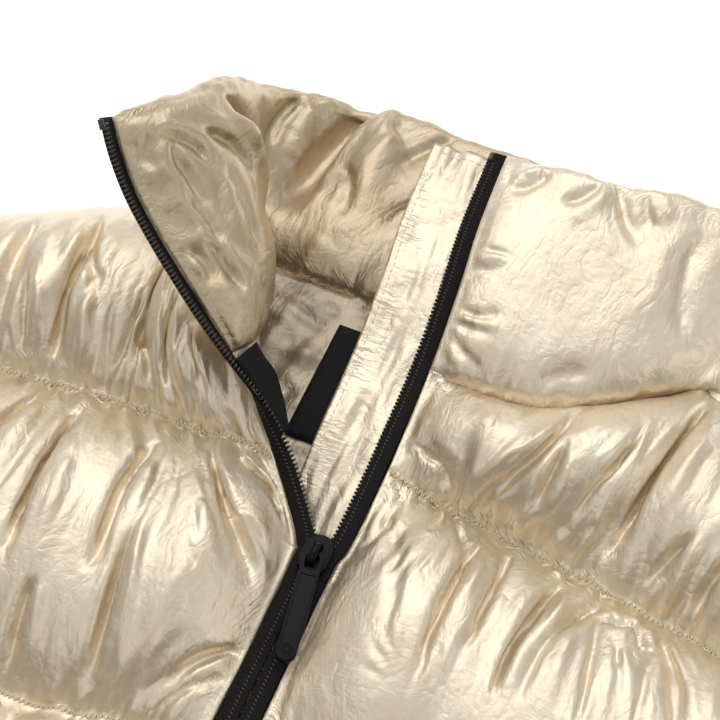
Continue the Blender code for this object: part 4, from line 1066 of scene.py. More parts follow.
def side_of_path(rows, columns, path_columns, path_rows):
    """+1 on one side of a line over a grid and -1 on the other."""
    column, row = np.meshgrid(np.arange(columns), np.arange(rows))
    nearest = np.argmin((column[..., None] - path_columns) ** 2 + (row[..., None] - path_rows) ** 2, axis=-1)
    ahead = np.gradient(path_columns)[nearest] * (row - path_rows[nearest])
    aside = np.gradient(path_rows)[nearest] * (column - path_columns[nearest])
    return np.where(ahead - aside < 0, -1.0, 1.0)


def collar_relief(loop):
    """Creases that run out of the neck seam and the zip, and a few broad dents."""
    rows, columns = loop.shape[:2]
    along = lengths_along(loop, 1)
    up = lengths_along(loop, 0)
    to_neck = np.minimum(up, up[-1:] - up)
    to_zip = np.minimum(along, along[:, -1:] - along)
    from_neck = soft_noise(rows, columns, 23, 9, 1) * np.exp(-to_neck / 13.0)
    from_zip = soft_noise(rows, columns, 29, 1, 9) * np.exp(-to_zip / 18.0)
    broad = soft_noise(rows, columns, 37, 14, 7)
    fade = smoothstep(to_neck / 4.0) * smoothstep(to_zip / 4.0)
    row = np.arange(rows)[:, None]
    top_seam = bell((np.abs(row - (rows - 1) / 2) - 3.0) / 1.1)
    pucker = soft_noise(rows, columns, 53, 3, 1) * bell(np.abs(row - rows / 2) / 7.0)
    small = (0.8 * from_neck + 0.3 * from_zip + 0.6 * broad + 0.5 * pucker - 1.1 * top_seam) * fade
    return small + 0.8 * collar_folds(loop) * smoothstep(to_neck / 9.0) * smoothstep(to_zip / 4.0)


def collar_faces(rows, columns):
    """The skin's faces, the strip that closes it along the neck and the two ends at the zip."""
    index = np.arange(rows * columns).reshape(rows, columns).tolist()
    faces = quads(rows, columns, True)
    for column in range(columns - 1):
        faces.append([index[-1][column], index[-1][column + 1], index[0][column + 1], index[0][column]])
    for column, flip in ((0, False), (columns - 1, True)):
        for row in range(rows // 2):
            level = (row, row + 1, rows - 2 - row, rows - 1 - row)
            corners = list(dict.fromkeys(index[place][column] for place in level))
            faces.append(corners[::-1] if flip else corners)
    return faces


def collar_piece(material):
    loop = collar_surface()
    rows, columns = loop.shape[:2]
    held = np.zeros((rows, columns), bool)
    held[[0, -1]] = True
    held[:, [0, 1, -2, -1]] = True
    start = loop + grid_normals(loop, -1, 1, 1) * collar_relief(loop)[..., None]
    start[held] = loop[held]
    middle = start.reshape(-1, 3).mean(axis=0)
    rest = middle + (start - middle) * COLLAR_FULLNESS
    surface = cloth_run(start, rest, np.where(held, 1.0, COLLAR_PIN), True, COLLAR_PRESSURE, COLLAR_FRAMES,
                        COLLAR_BENDING, COLLAR_CAP)
    surface[..., 2] = np.maximum(surface[..., 2], COLLAR_LEAST_Z)
    fine = resample(surface, *(np.linspace(0, count - 1, 2 * count - 1) for count in (rows, columns)))
    rows, columns = fine.shape[:2]
    half = rows // 2
    row = np.arange(rows)[:, None]
    column = np.arange(columns)[None, :]
    free = smoothstep(np.minimum(row, rows - 1 - row) / 14.0) * smoothstep((np.abs(row - half) - 2) / 9.0)
    free = free * smoothstep(np.minimum(column, columns - 1 - column) / 8.0)
    crisp = CRISP_SHARE * collar_folds(fine, CRISP_WIDTH)
    fine += grid_normals(fine, -1, 2, 2) * (crisp * free)[..., None]
    fine[..., 2] = np.maximum(fine[..., 2], COLLAR_LEAST_Z)
    piece = add_piece("collar_cloth", fine.reshape(-1, 3), collar_faces(rows, columns), material,
                      slot="outer_fabric", stands_for=("collar",))
    turn_outward(piece)
    field = puckers(fine, [0, half - 6, half + 6, rows - 1], [0, columns - 1], 12.0)
    field[..., 2] *= 0.6
    store(piece, "gather", field, 3)
    # painted shade: marks the collar's neck side to be darkened in colour
    store(piece, "shade", np.repeat(smoothstep((half - row) / 5.0), columns, axis=1), 1)
    return surface


# ---- back
BACK_COLUMNS = 72                      # across the neck
BACK_BAND_ROWS = (10, 14, 14, 14, 14)


def back_lines(half):
    """The back's hem, seams and top edge in plan, from the hem up, with half as many points over the neck."""
    bottom, top, _ = collar_centre(COLLAR_COLUMNS)
    neck = off_collar(bottom, top, SOLID_GAP)
    middle = int(np.argmin(np.abs(bottom[:, 0]) + FAR * (bottom[:, 2] > 16)))
    first = max(index for index in range(middle) if bottom[index, 2] > 19.0)
    last = min(index for index in range(middle, COLLAR_COLUMNS) if bottom[index, 2] > 19.0)
    neck_points = Curve(neck[first:last + 1][::-1][:, :2]).even(half)
    count = int(2.25 * half)
    lines = []
    for level in (4, 3, 2, 1, 0):
        seam_y = HEM_Y if level == 4 else SEAM_YS[level] - 4.0
        end_y = HEM_Y if level == 4 else seam_end_y(seam_y, BACK_SLOPES[level])
        x_end = side_point(1, end_y)[0]
        x = np.linspace(-x_end, x_end, count)
        lines.append(np.column_stack([x, end_y + (seam_y - end_y) * (1 - (x / x_end) ** 2)]))
    wing = (count - half) // 2
    left = shoulder_line(np.array([*neck_points[0], 0.0]), -1, wing + 1, 0.0)[::-1][:-1, :2]
    right = shoulder_line(np.array([*neck_points[-1], 0.0]), 1, count - half - wing + 1, 0.0)[1:, :2]
    lines.append(np.concatenate([left, neck_points, right]))
    return [np.column_stack([line, np.zeros(count)]) for line in lines]


def back_plan(half, band_rows):
    """The back's plan with each point's distance to the outline and to the nearest seam."""
    lines = back_lines(half)
    grid, to_edge, to_seam = [], [], []
    for band, (low, high) in enumerate(zip(lines, lines[1:])):
        even = np.linspace(0, 1, band_rows[band] + 1)
        edges = [side_edge_rows(sign, low[column][1], high[column][1], even, 0.0)
                 for sign, column in ((-1, 0), (1, -1))]
        patch = band_patch(low, high, *edges, even)
        for row, share in list(zip(patch, even))[0 if band == 0 else 1:]:
            grid.append(row)
            side = np.minimum(np.abs(row[:, 0] - row[0, 0]), np.abs(row[:, 0] - row[-1, 0]))
            top_gap = (1 - share) * BACK_SPANS[band] if band == 4 else FAR
            hem_gap = share * BACK_SPANS[band] if band == 0 else FAR
            to_edge.append(np.minimum(side, min(top_gap, hem_gap)))
            low_gap = share if band > 0 else 9
            high_gap = 1 - share if band < 4 else 9
            to_seam.append(np.full(len(row), min(low_gap, high_gap) * BACK_SPANS[band]))
    return np.array(grid), np.array(to_edge), np.array(to_seam)


def back_piece(material):
    grid, to_edge, to_seam = back_plan(BACK_COLUMNS, BACK_BAND_ROWS)
    rows, columns = grid.shape[:2]
    under, over = grid.copy(), grid.copy()
    rise = 1 - pillow(to_edge, BACK_RIM)
    x_wave = np.sin(grid[..., 0] * 0.21 + grid[..., 1] * 0.02) + np.sin(grid[..., 0] * 0.37 + 1.3)
    gather = np.exp(-to_seam / BACK_SEAM_WIDTH)
    crease = gather * (BACK_SEAM_DEPTH + 0.7 * x_wave)
    under[..., 2] = (BACK_EDGE_Z - 0.5) * rise + crease * smoothstep(to_edge / 6.0) + 0.05
    over[..., 2] = BACK_TOP_Z
    neck = np.abs(grid[-1, :, 0]) < NECK_POINT_X - 8.0
    tail = np.zeros_like(to_edge)
    tail[-15:, neck] = smoothstep(1 - to_edge[-15:, neck] / 24.0)
    over[..., 2] -= tail * 7.0
    under[..., 2] -= tail * (BACK_EDGE_Z - 11.0) * rise
    under[..., 2] = np.minimum(np.maximum(under[..., 2], 0.0), over[..., 2] - 2.0)
    piece = closed_cloth("back_cloth", over, under, material, "outer_fabric", ("back_panel",))


# ---- lining, underlap, facing, label
LINING_COLUMNS = 56                    # across the neck
LINING_BAND_ROWS = (6, 10, 12, 24, 40)
LINING_TOP_Y = 124.0
LINING_THICKNESS = 0.5
LINING_MIDDLE = np.array([0.0, -130.0, 0.0])
LINING_SHRINK = (0.962, 0.985, 1.0)    # of the back's plan, about the lining's middle
LINING_CREASES = ((-52.0, 0.55, 2.4), (-66.0, 0.30, 2.0), (-40.0, 0.75, 1.8), (-30.0, 1.05, 1.6))


def lowered(grid, drop):
    low = grid.copy()
    low[..., 2] -= drop
    return low


def lining_piece(material):
    grid, _, _ = back_plan(LINING_COLUMNS, LINING_BAND_ROWS)
    over = LINING_MIDDLE + (grid - LINING_MIDDLE) * np.array(LINING_SHRINK)
    over[..., 1] = np.minimum(over[..., 1], LINING_TOP_Y)
    x, y = over[..., 0], over[..., 1]
    open_part = smoothstep((y + 10.0) / 45.0) * np.exp(-(x / 75.0) ** 4)
    lumps = 0.9 * np.sin(x * 0.11 + 0.04 * y) * np.sin(y * 0.09 + 0.6)
    crumple = soft_noise(*x.shape, 31, 2, 2)
    label = smoothstep((44.0 - np.abs(x)) / 8.0) * smoothstep((y - 44.0) / 8.0)
    bare = 1 - label * smoothstep((115.0 - y) / 6.0)
    fold = 1.4 * bell((y - 92.0 - 0.06 * x) / 2.6)
    for start, slope, high in LINING_CREASES:
        fold += high * bell((x - start - slope * (y - 60.0) * 0.5) / 2.4) * bare
    over[..., 2] = LINING_Z + open_part * (0.35 * lumps + (0.45 + 0.6 * bare) * crumple + fold)
    piece = closed_cloth("lining_cloth", over, lowered(over, LINING_THICKNESS), material, "lining_fabric",
                         ("back_lining",))


UNDERLAP_REACH = 25.5
UNDERLAP_THICKNESS = 1.5
UNDERLAP_STITCH = 0.9                  # of the way from the zip to the free edge
UNDERLAP_LOW_Z = 24.05
UNDERLAP_ROOT = 5.6                    # behind the front, from the teeth's edge
UNDERLAP_DROP = 3.3                    # below the teeth


def underlap_surface(count=120, columns=22):
    """The flap's upper side before it swells, from behind the wearer's left zip half to its free edge."""
    first = zip_share("left", -40.0)
    shares = np.concatenate([np.linspace(0, first, 12)[:-1], np.linspace(first, 0.998, count)])
    teeth, _, _ = zip_frames("left", shares)
    near = teeth.copy()
    near[:, 0] += UNDERLAP_ROOT
    near[:, 2] -= UNDERLAP_DROP + 2.7 * bell(teeth[:, 1] / 16.0)
    rise = smoothstep((teeth[:, 1] - 12.0) / 52.0)
    far = teeth.copy()
    far[:, 0] -= UNDERLAP_REACH
    far[:, 2] = UNDERLAP_LOW_Z + (teeth[:, 2] - 3.6 - UNDERLAP_LOW_Z) * rise
    share = np.linspace(0, 1, columns)[None, :, None]
    surface = near[:, None] + (far - near)[:, None] * share
    surface[..., 2] -= (0.3 + 0.5 * (1 - rise))[:, None] * np.sin(np.pi * share[..., 0])
    return surface


def underlap_piece(material):
    surface = underlap_surface()
    rows, columns = surface.shape[:2]
    share = np.linspace(0, 1, columns)[None, :]
    stitch = 1 - 0.55 * bell((share - UNDERLAP_STITCH) / 0.035)
    swell = 0.5 * np.sin(np.pi * np.clip(share, 0, UNDERLAP_STITCH) / UNDERLAP_STITCH) * stitch
    wrinkle = 0.7 * soft_noise(rows, columns, 41, 7, 2) * np.sin(np.pi * share)
    top = surface.copy()
    top[..., 2] += swell + wrinkle - 0.35 * bell((share - UNDERLAP_STITCH) / 0.03)
    piece = closed_cloth("underlap_cloth", top, lowered(surface, UNDERLAP_THICKNESS), material,
                         "outer_fabric", ("underlap",))
    field = puckers(top, [], [0, columns - 3], 9.0)
    field[..., 2] *= 1.6
    store(piece, "gather", field, 3)
    return top


FACING_START = 52.0                    # along the zip from the slider
FACING_END = 86.0
FACING_TURN = math.radians(58.0)
FACING_THICKNESS = 0.8
FACING_ROOT = 3.4                      # from the teeth's edge
FACING_HANG = (8.0, 5.0)               # its width at the start, and what it grows by


def facing_piece(material):
    """A strip that leaves the tape's back and turns flat towards the collar."""
    lengths = np.linspace(FACING_START, FACING_END, 30)
    shares = np.array([zip_share("right", length) for length in lengths])
    teeth, across, normal = zip_frames("right", shares)
    turn = FACING_TURN * smoothstep((lengths - FACING_START) / (FACING_END - FACING_START))
    hang = FACING_HANG[0] + FACING_HANG[1] * smoothstep((lengths - FACING_START) / 20.0)
    root = teeth + across * FACING_ROOT - normal * (1.2 + 0.9 * np.sin(turn))[:, None]
    down = across * np.sin(turn)[:, None] - normal * np.cos(turn)[:, None]
    aside = across * np.cos(turn)[:, None] + normal * np.sin(turn)[:, None]
    share = np.linspace(0, 1, 8)
    front = root[:, None] + down[:, None] * (hang[:, None] * share[None])[..., None]
    front = front + aside[:, None] * (0.25 * np.sin(lengths * 0.5)[:, None] * share[None])[..., None]
    piece = closed_cloth("facing_cloth", front, front + aside[:, None] * FACING_THICKNESS, material,
                         "black_fabric", ("facing_right",))


LABEL_SIZE = (74.0, 57.0, 0.7)
LABEL_TOP_Y = 108.5
LABEL_RISE = 1.5                       # of its top over the lining


def label_piece(material):
    width, height, thick = LABEL_SIZE
    x = np.linspace(-width / 2, width / 2, 24)
    y = np.linspace(LABEL_TOP_Y - height, LABEL_TOP_Y, 18)
    x, y = np.meshgrid(x, y)
    wave = 0.3 * np.sin(x * 0.09 + 1.0) * np.sin(y * 0.07)
    top = np.stack([x, y, LINING_Z + LABEL_RISE + wave], axis=-1)
    piece = closed_cloth("label_cloth", top, lowered(top, thick), material, "black_fabric", ("neck_label",))


# ---- zip
TOOTH_PITCH = 1.8
STITCH_PITCH = 1.7
STITCH_RADIUS = 0.11
TAPE_RINGS = (40, 90)                  # below and above the slider
TAPE_SECTION = ((0.0, 0.46), (0.35, 0.6), (TAPE_WIDTH - 0.4, 0.6), (TAPE_WIDTH + 0.3, 0.35),
                (TAPE_WIDTH + 0.3, -0.5), (COIL_WIDTH, -0.6), (0.3, -0.6), (0.0, -0.4))
COIL_HOOK = ((2.6, -0.95), (1.0, -0.75), (0.2, -0.6), (-0.25, -0.95), (-0.2, -1.45), (0.9, -1.85),
             (2.6, -1.9))
COIL_RADIUS = 0.42
COIL_SLANT = 0.12                      # along the zip, from one point of a hook to the next
STOP_PLACES = (4.6, 3.8, 2.6, 1.4, 0.6)        # before the end of the zip half
STOP_ASIDE = 0.9
STOP_RADIUS = 1.25


def tape_piece(side, material):
    """A zip half's tape, its edge drawn back where the zip is open to show the coil."""
    below, above = TAPE_RINGS
    slider_share = zip_share(side, -6.0)
    shares = np.concatenate([np.linspace(0, slider_share, below)[:-1], np.linspace(slider_share, 1, above)])
    teeth, across, normal = zip_frames(side, shares)
    parted = 0.8 * smoothstep((teeth[:, 1] - 6.0) / 8.0)
    rings = np.array([[t + a * (out + gap * (out < 1.0)) + n * up for out, up in TAPE_SECTION]
                      for t, a, n, gap in zip(teeth, across, normal, parted)])
    piece = add_piece(f"zip_tape_{side}_woven", rings.reshape(-1, 3), ring_faces(*rings.shape[:2]), material,
                      slot="zip_tape", stands_for=(f"zip_tape_{side}",))
    turn_outward(piece)


def zip_spots(side, first, spare, pitch):
    """Teeth edge and the three directions at even steps along a zip half, up to spare before its end."""
    length = ZIP_CURVES[side].length
    for place in np.arange(first, length - spare, pitch):
        edge, across, normal = (rows[0] for rows in zip_frames(side, [place / length]))
        yield edge, across, normal, np.cross(across, normal)


def teeth_piece(side, material):
    """The coil's loops along the open half: small rounded hooks over the tape's edge."""
    batch = Batch()
    first = ZIP_CURVES[side].length * zip_share(side, 3.0)
    for edge, across, normal, along in zip_spots(side, first, 2.0, TOOTH_PITCH):
        path = [edge + across * out + normal * up + along * (COIL_SLANT * (k - 3))
                for k, (out, up) in enumerate(COIL_HOOK)]
        batch.add(*tube(path, COIL_RADIUS, 6, up=along))
    batch.piece(f"zip_teeth_{side}", material, slot="zip_tape")


def tape_stitches(material):
    """The short slanted stitches that hold the coil along the middle of each tape, in a light grey that
    paints their glint.
    """
    batch = Batch()
    for side in SIDES:
        for edge, across, normal, along in zip_spots(side, 4.0, 4.0, STITCH_PITCH):
            path = [edge + across * (2.5 + 0.45 * k) + normal * (0.62 + 0.07 * (k == 1)) + along * 0.3 * k
                    for k in range(3)]
            batch.add(*tube(path, STITCH_RADIUS, 4, up=normal))
    batch.piece("zip_tape_stitches", material, slot="zip_tape")


def top_stops(material):
    """The lump that closes each half of the zip at the collar's top."""
    batch = Batch()
    for side in SIDES:
        teeth, across, normal = zip_frames(side, 1 - np.array(STOP_PLACES) / ZIP_CURVES[side].length)
        batch.add(*tube(teeth + across * STOP_ASIDE, STOP_RADIUS, 10, up=normal[0]))
    batch.piece("zip_top_stops", material, slot="zip_tape")


# ---- slider and pull tab
PLATE_LOW_Z = 36.1
PLATE_TOP_Z = PLATE_LOW_Z + 2.2
BACK_PLATE = (30.4, 31.9)              # low and high side
PLATE_HALF = (5.9, 8.6)
HINGE_Y = -1.0
HINGE_Z = PLATE_TOP_Z + 2.2
BRIDGE_TOP_Z = HINGE_Z + 2.6
TAB_LENGTH = 46.0
TAB_WIDTH = 8.0
TAB_THICKNESS = 2.0
TAB_YAW = math.radians(9.0)
TAB_REACH = 0.75                       # past the hinge
WINDOW_REACH = 7.4
WINDOW_HALF = 2.5
BAR_RADIUS = 0.8
RIM_INSET = 0.55
RIM_TOP_Y = -9.2
SHARP_ANGLE = math.radians(40.0)


def oval(half_x, half_y, count=48, power=2.6, middle=(0.0, 0.0)):
    angles = 2 * np.pi * np.arange(count) / count
    c, s = np.cos(angles), np.sin(angles)
    return [(middle[0] + half_x * math.copysign(abs(a) ** (2 / power), a),
             middle[1] + half_y * math.copysign(abs(b) ** (2 / power), b)) for a, b in zip(c, s)]


def rounded_plate(outlines, low_z, high_z, edge):
    """Points and faces of a plate with rounded edges; every outline after the first is a hole."""
    curve = bpy.data.curves.new("plate", "CURVE")
    set_all(curve, {"dimensions": "2D", "fill_mode": "BOTH", "extrude": (high_z - low_z) / 2 - edge,
                    "bevel_depth": edge, "bevel_resolution": 3, "offset": -edge})
    for outline in outlines:
        spline = curve.splines.new("POLY")
        spline.points.add(len(outline) - 1)
        for point, (x, y) in zip(spline.points, outline):
            point.co = (x, y, 0.0, 1.0)
        spline.use_cyclic_u = True
    holder = new_object("plate", curve)
    mesh = bpy.data.meshes.new_from_object(holder.evaluated_get(bpy.context.evaluated_depsgraph_get()))
    work = bmesh.new()
    work.from_mesh(mesh)
    bmesh.ops.remove_doubles(work, verts=work.verts, dist=1e-4)
    points = np.array([vertex.co for vertex in work.verts])
    faces = [[vertex.index for vertex in face.verts] for face in work.faces]
    work.free()
    bpy.data.objects.remove(holder)
    bpy.data.meshes.remove(mesh)
    points[:, 2] += (low_z + high_z) / 2
    return points, faces


def smooth_by_angle(piece):
    """Sharp edges where faces meet at more than SHARP_ANGLE, and smooth ones elsewhere."""
    work = bmesh.new()
    work.from_mesh(piece.data)
    for edge in work.edges:
        if len(edge.link_faces) == 2:
            edge.smooth = edge.calc_face_angle() < SHARP_ANGLE
    work.to_mesh(piece.data)
    work.free()


def slider_plates():
    """Outline, low side, high side and edge of each plate: body, raised top, back plate, wedge, walls."""
    half_x, half_y = PLATE_HALF
    plates = [
        (oval(half_x, half_y), PLATE_LOW_Z, PLATE_TOP_Z - 0.3, 0.45),
        (oval(half_x - 1.0, half_y - 1.1), PLATE_TOP_Z - 0.9, PLATE_TOP_Z, 0.25),
        (oval(half_x - 0.6, half_y - 0.6), *BACK_PLATE, 0.35),
        ([(0.0, 1.0), (1.1, 7.0), (-1.1, 7.0)], BACK_PLATE[0] + 0.5, PLATE_TOP_Z - 0.5, 0.1),
    ]
    for side in (-1, 1):
        wall = [(side * 5.0, -6.5), (side * 5.5, -6.5), (side * 5.5, 4.0), (side * 5.0, 4.0)]
        plates.append((wall[::side], 35.2, PLATE_LOW_Z + 0.4, 0.1))
    return plates


def slider_piece(material):
    batch = Batch()
    for outline, low_z, high_z, edge in slider_plates():
        batch.add(*rounded_plate([outline], low_z, high_z, edge))
    angles = np.linspace(0, np.pi, 22)
    low = PLATE_TOP_Z - 0.5
    high = BRIDGE_TOP_Z - 0.65 - low
    bridge = np.column_stack([np.zeros(22), HINGE_Y + 4.4 * np.cos(angles),
                              low + high * np.sin(angles) ** 0.55])
    for aside, radius, sides, flat in ((0.0, 0.62, 12, 2.2), (-1.3, 0.66, 8, 0.6), (1.3, 0.66, 8, 0.6)):
        path = bridge + np.array([aside, 0.0, 0.0])
        batch.add(*tube(path, radius, sides, up=(1.0, 0.0, 0.0), flat=flat))
    smooth_by_angle(batch.piece("slider_body", material, slot="black_metal", stands_for=("slider",)))


def tab_end(inset=0.0, steps=20):
    """The round end of the tab's outline, from the wearer's left to the right."""
    radius = TAB_WIDTH / 2 - inset
    end = -TAB_LENGTH + TAB_WIDTH / 2
    angles = np.pi * np.arange(steps + 1) / steps
    return [(radius * math.cos(angle), end - radius * math.sin(angle)) for angle in angles]


def tab_place(points):
    """From the tab's own axes to the garment's."""
    c, s = math.cos(TAB_YAW), math.sin(TAB_YAW)
    x = c * points[:, 0] - s * points[:, 1]
    y = s * points[:, 0] + c * points[:, 1] + HINGE_Y
    return np.column_stack([x, y, points[:, 2] + HINGE_Z])


def tab_forms():
    """Points and faces of the tab's plate with its window, its raised rim and two raised rings."""
    half_x = TAB_WIDTH / 2
    half = TAB_THICKNESS / 2
    head = [(half_x, -1.0), (half_x - 0.5, TAB_REACH - 0.4), (half_x - 1.6, TAB_REACH)]
    outline = [(-x, y) for x, y in head[::-1]] + tab_end()[::-1] + head
    window = oval(WINDOW_HALF, (WINDOW_REACH - BAR_RADIUS) / 2, 32, 3.0,
                  (0.0, -(WINDOW_REACH + BAR_RADIUS) / 2))
    yield rounded_plate([outline, window], -half, half - 0.35, 0.5)
    shoulder = half_x - RIM_INSET
    rim = [(-shoulder, RIM_TOP_Y)] + tab_end(RIM_INSET)[::-1] + [(shoulder, RIM_TOP_Y)]
    hollow = [(x * 0.82, y + (0.55 if y < -12 else -0.6)) for x, y in rim]
    yield rounded_plate([rim, hollow], half - 0.5, half, 0.12)
    angles = np.linspace(0, 2 * np.pi, 33)
    for radius, drop, thick in ((2.0, 0.28, 0.24), (1.0, 0.34, 0.2)):
        x, y = radius * np.cos(angles), -TAB_LENGTH + 5.2 + radius * np.sin(angles)
        yield tube(np.column_stack([x, y, np.full(33, half - drop)]), thick, 8)


def tab_piece(material):
    batch = Batch()
    for points, faces in tab_forms():
        batch.add(tab_place(points), faces)
    smooth_by_angle(batch.piece("pull_tab_lever", material, body="pull_tab", slot="black_metal",
                                stands_for=("pull_tab",)))


# ---- sewing
def line_on(surface, row, column):
    """Points read smoothly from a grid along a line of row and column indices, with their normals."""
    rows, columns = surface.shape[:2]
    row, column = np.broadcast_arrays(row, column)

    def read(row, column):
        row = np.clip(row, 0, rows - 1.001)
        column = np.clip(column, 0, columns - 1.001)
        i, j = np.floor(row).astype(int), np.floor(column).astype(int)
        u, v = (row - i)[:, None], (column - j)[:, None]
        return ((1 - u) * (1 - v) * surface[i, j] + (1 - u) * v * surface[i, j + 1]
                + u * (1 - v) * surface[i + 1, j] + u * v * surface[i + 1, j + 1])

    normal = np.cross(read(row, column + 0.7) - read(row, column - 0.7),
                      read(row + 0.7, column) - read(row - 0.7, column))
    return read(row, column), unit(normal)


def even_line(points, normals, pitch):
    steps = lengths_along(points)
    wanted = np.arange(0.0, steps[-1], pitch)
    return read_rows(wanted, steps, points), unit(read_rows(wanted, steps, normals))


STITCH_PARTS = 6                       # steps in a stitch and the gap after it
STITCH_RISE = 0.24                     # of a stitch's middle over its ends, which dip into the cloth
STITCH_DIP = 0.2
SEAM_STITCH = (2.5, 0.9, 0.22)         # length, gap and thread radius
EDGE_STITCH = (2.1, 0.8, 0.17)
ZIGZAG_WIDTH = 2.8
ZIGZAG_PITCH = 1.05
ZIGZAG_LIFT = 0.6
ZIGZAG_RADIUS = 0.36


def stitch_line(batch, points, normals, stitch=EDGE_STITCH):
    """Lockstitches: short threads that dip into the cloth at both ends."""
    length, gap, radius = stitch
    spots, tops = even_line(points, normals, (length + gap) / STITCH_PARTS)
    count = int(round(STITCH_PARTS * length / (length + gap))) + 1
    lift = STITCH_RISE * np.sin(np.pi * np.linspace(0, 1, count)) ** 0.6 - STITCH_DIP
    for start in range(0, len(spots) - count, STITCH_PARTS):
        thread = spots[start:start + count] + tops[start:start + count] * lift[:, None]
        batch.add(*tube(thread, radius, 5, up=tops[start]))


def zigzag_line(batch, points, normals):
    """A zigzag thread, as over the elastic of a gathered seam."""
    spots, tops = even_line(points, normals, ZIGZAG_PITCH)
    side = unit(np.cross(unit(np.gradient(spots, axis=0)), tops))
    swing = np.where(np.arange(len(spots)) % 2, 1.0, -1.0) * ZIGZAG_WIDTH / 2
    thread = spots + side * swing[:, None] + tops * ZIGZAG_LIFT
    batch.add(*tube(Curve(thread).even(len(thread) * 3), ZIGZAG_RADIUS, 4))


def sewing(fronts, collar_grid, underlap_grid, material):
    """The zigzag over the gathered seams and the stitches beside the zip and round the underlap."""
    seams, edges, flap = Batch(), Batch(), Batch()
    for side, surface in fronts.items():
        rows, columns = surface.shape[:2]
        for stop in FRONT_STOPS[1:5]:
            points, normals = line_on(surface, float(stop), np.linspace(0.6, columns - 1.6, 400))
            zigzag_line(seams, points, normals * SIDES[side])
        points, normals = line_on(surface, np.linspace(1.0, rows - 1.2, 700), 1.0)
        stitch_line(edges, points, normals * SIDES[side])
    rows, columns = collar_grid.shape[:2]
    outer = np.linspace(2.0, rows // 2 - 4.0, 120)
    inner = np.linspace(rows // 2 + 4.0, rows - 3.0, 120)
    for line, column in ((outer, 1.1), (outer, columns - 2.1), (inner, 1.1)):
        points, normals = line_on(collar_grid, line, column)
        stitch_line(edges, points, -normals)
    rows, columns = underlap_grid.shape[:2]
    far = UNDERLAP_STITCH * (columns - 1)
    for line in ((np.linspace(3.0, rows - 4.0, 400), far), (rows - 3.5, np.linspace(3.0, far, 60))):
        points, normals = line_on(underlap_grid, *line)
        stitch_line(flap, points, -normals, SEAM_STITCH)
    seams.piece("seam_zigzag", material, slot="outer_fabric")
    edges.piece("edge_stitches", material, slot="outer_fabric")
    flap.piece("underlap_stitches", material, slot="outer_fabric")


# ---- stage, metres
CAMERA_PLACE = (0.1396, -0.19316, 0.68604)
CAMERA_ELEVATION = math.radians(58.0)
CAMERA_AZIMUTH = math.radians(23.0)
CAMERA_SETTINGS = {"sensor_width": 36.0, "lens": 93.75, "clip_start": 0.01, "clip_end": 20.0}
FLOOR_HALF = 12.0
FLOOR_Z = -0.0005
BRIGHT_SIDE = (-0.20, 0.55, 0.81)      # where the world is lightest
WORLD_DARK = (0.31, 0.285, 0.25)
WORLD_LIGHT = (0.95, 0.95, 0.95)
WORLD_STRENGTH = 0.71
LIGHT_AIM = (0.0, 0.05, 0.0)
Light = namedtuple("Light", "name place energy size colour")
LIGHTS = (
    Light("key", (-0.35, 0.95, 1.25), 7.5, (1.6, 1.2), (1.0, 0.99, 0.97)),
    Light("side", (1.2, 0.2, 0.7), 1.6, (0.7, 0.7), (1.0, 1.0, 1.0)),
    Light("fill", (0.1, -0.75, 1.3), 1.7, (1.4, 0.8), (1.0, 0.97, 0.92)),
)


def add_camera():
    camera = new_object("camera", bpy.data.cameras.new("camera"))
    c, s = math.cos(CAMERA_AZIMUTH), math.sin(CAMERA_AZIMUTH)
    level = math.cos(CAMERA_ELEVATION)
    forward = Vector((-s * level, c * level, -math.sin(CAMERA_ELEVATION)))
    right = Vector((c, s, 0.0))
    turn = Matrix((right, right.cross(forward), -forward)).transposed()
    camera.matrix_world = Matrix.Translation(CAMERA_PLACE) @ turn.to_4x4()
    set_all(camera.data, CAMERA_SETTINGS)
    bpy.context.scene.camera = camera


def add_floor():
    corners = [(x * FLOOR_HALF, y * FLOOR_HALF, FLOOR_Z) for x, y in ((-1, -1), (1, -1), (1, 1), (-1, 1))]
    mesh = bpy.data.meshes.new("floor")
    mesh.from_pydata(corners, [], [[0, 1, 2, 3]])
    floor = new_object("floor", mesh)
    material, tree = new_material("floor_white")
    mesh.materials.append(finished(material, tree, {
        "Base Color": (0.95, 0.95, 0.95, 1.0), "Roughness": 0.9,
        "Emission Color": (1.0, 1.0, 1.0, 1.0), "Emission Strength": 0.65}))


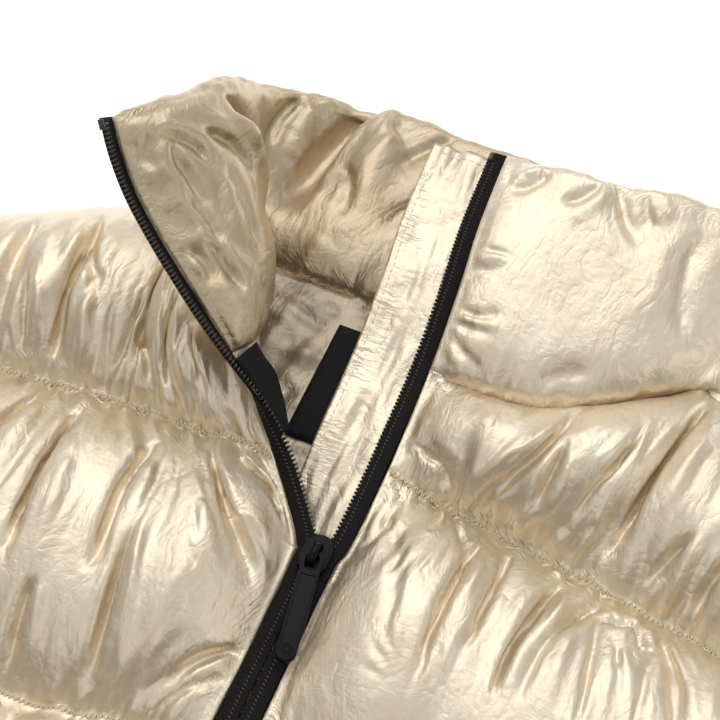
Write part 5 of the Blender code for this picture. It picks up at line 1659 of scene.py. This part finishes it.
def add_world():
    world = bpy.data.worlds.new("studio")
    world.use_nodes = True
    tree = world.node_tree
    place = add_node(tree, "TexCoord", {})["Generated"]
    toward = add_node(tree, "VectorMath", {0: place, 1: BRIGHT_SIDE}, operation="DOT_PRODUCT")["Value"]
    glow = colour_ramp(tree, toward, (0.0, WORLD_DARK), (0.85, WORLD_LIGHT))
    set_inputs(tree, tree.nodes["Background"], {"Color": glow, "Strength": WORLD_STRENGTH})
    bpy.context.scene.world = world


def add_lights():
    for row in LIGHTS:
        lamp = bpy.data.lights.new(row.name, "AREA")
        lamp.shape = "RECTANGLE"
        lamp.size, lamp.size_y = row.size
        lamp.energy = row.energy
        lamp.color = row.colour
        light = new_object(row.name, lamp)
        light.location = row.place
        light.rotation_euler = (Vector(LIGHT_AIM) - Vector(row.place)).to_track_quat("-Z", "Y").to_euler()


# ---- the garment
def build():
    gold = foil_cloth("gold_foil", (0.86, 0.765, 0.61), (0.79, 0.68, 0.52), 0.41, 0.9)
    lining_painted_shade = foil_cloth("lining_foil_painted_shade", (0.44, 0.375, 0.28), (0.31, 0.26, 0.19), 0.42, 0.85, 1.1)
    # painted shade: the lining's colours are set dark, well below the outer gold, to stand for the shade it
    # lies in under the fronts and collar
    thread = plain("gold_thread", (0.86, 0.74, 0.52), 0.5, 0.2)
    tape = woven("tape_black", (0.007, 0.006, 0.006), 0.8, 260.0)
    cloth = woven("cloth_black", (0.007, 0.007, 0.0075), 0.75, 420.0)
    coil = plain("coil_black", (0.014, 0.012, 0.011), 0.2, coat=0.5)
    # painted glint: the tape stitches are modelled threads, but their light grey, far lighter than the black
    # tape, stands in for glinting dashes
    glint = plain("stitch_painted_glint", (0.20, 0.19, 0.17), 0.35, coat=0.4)
    metal = plain("lacquer_black", (0.006, 0.005, 0.005), 0.24, grain=0.15, grain_scale=450.0, specular=0.13)
    fronts = {side: front_piece(side, gold) for side in SIDES}
    collar_grid = collar_piece(gold)
    back_piece(gold)
    lining_piece(lining_painted_shade)
    underlap_grid = underlap_piece(gold)
    facing_piece(cloth)
    label_piece(cloth)
    for side in SIDES:
        tape_piece(side, tape)
        teeth_piece(side, coil)
    tape_stitches(glint)
    top_stops(coil)
    slider_piece(metal)
    tab_piece(metal)
    sewing(fronts, collar_grid, underlap_grid, thread)


add_camera()
add_floor()
add_world()
add_lights()
bpy.context.scene.view_settings.view_transform = "Standard"
build()
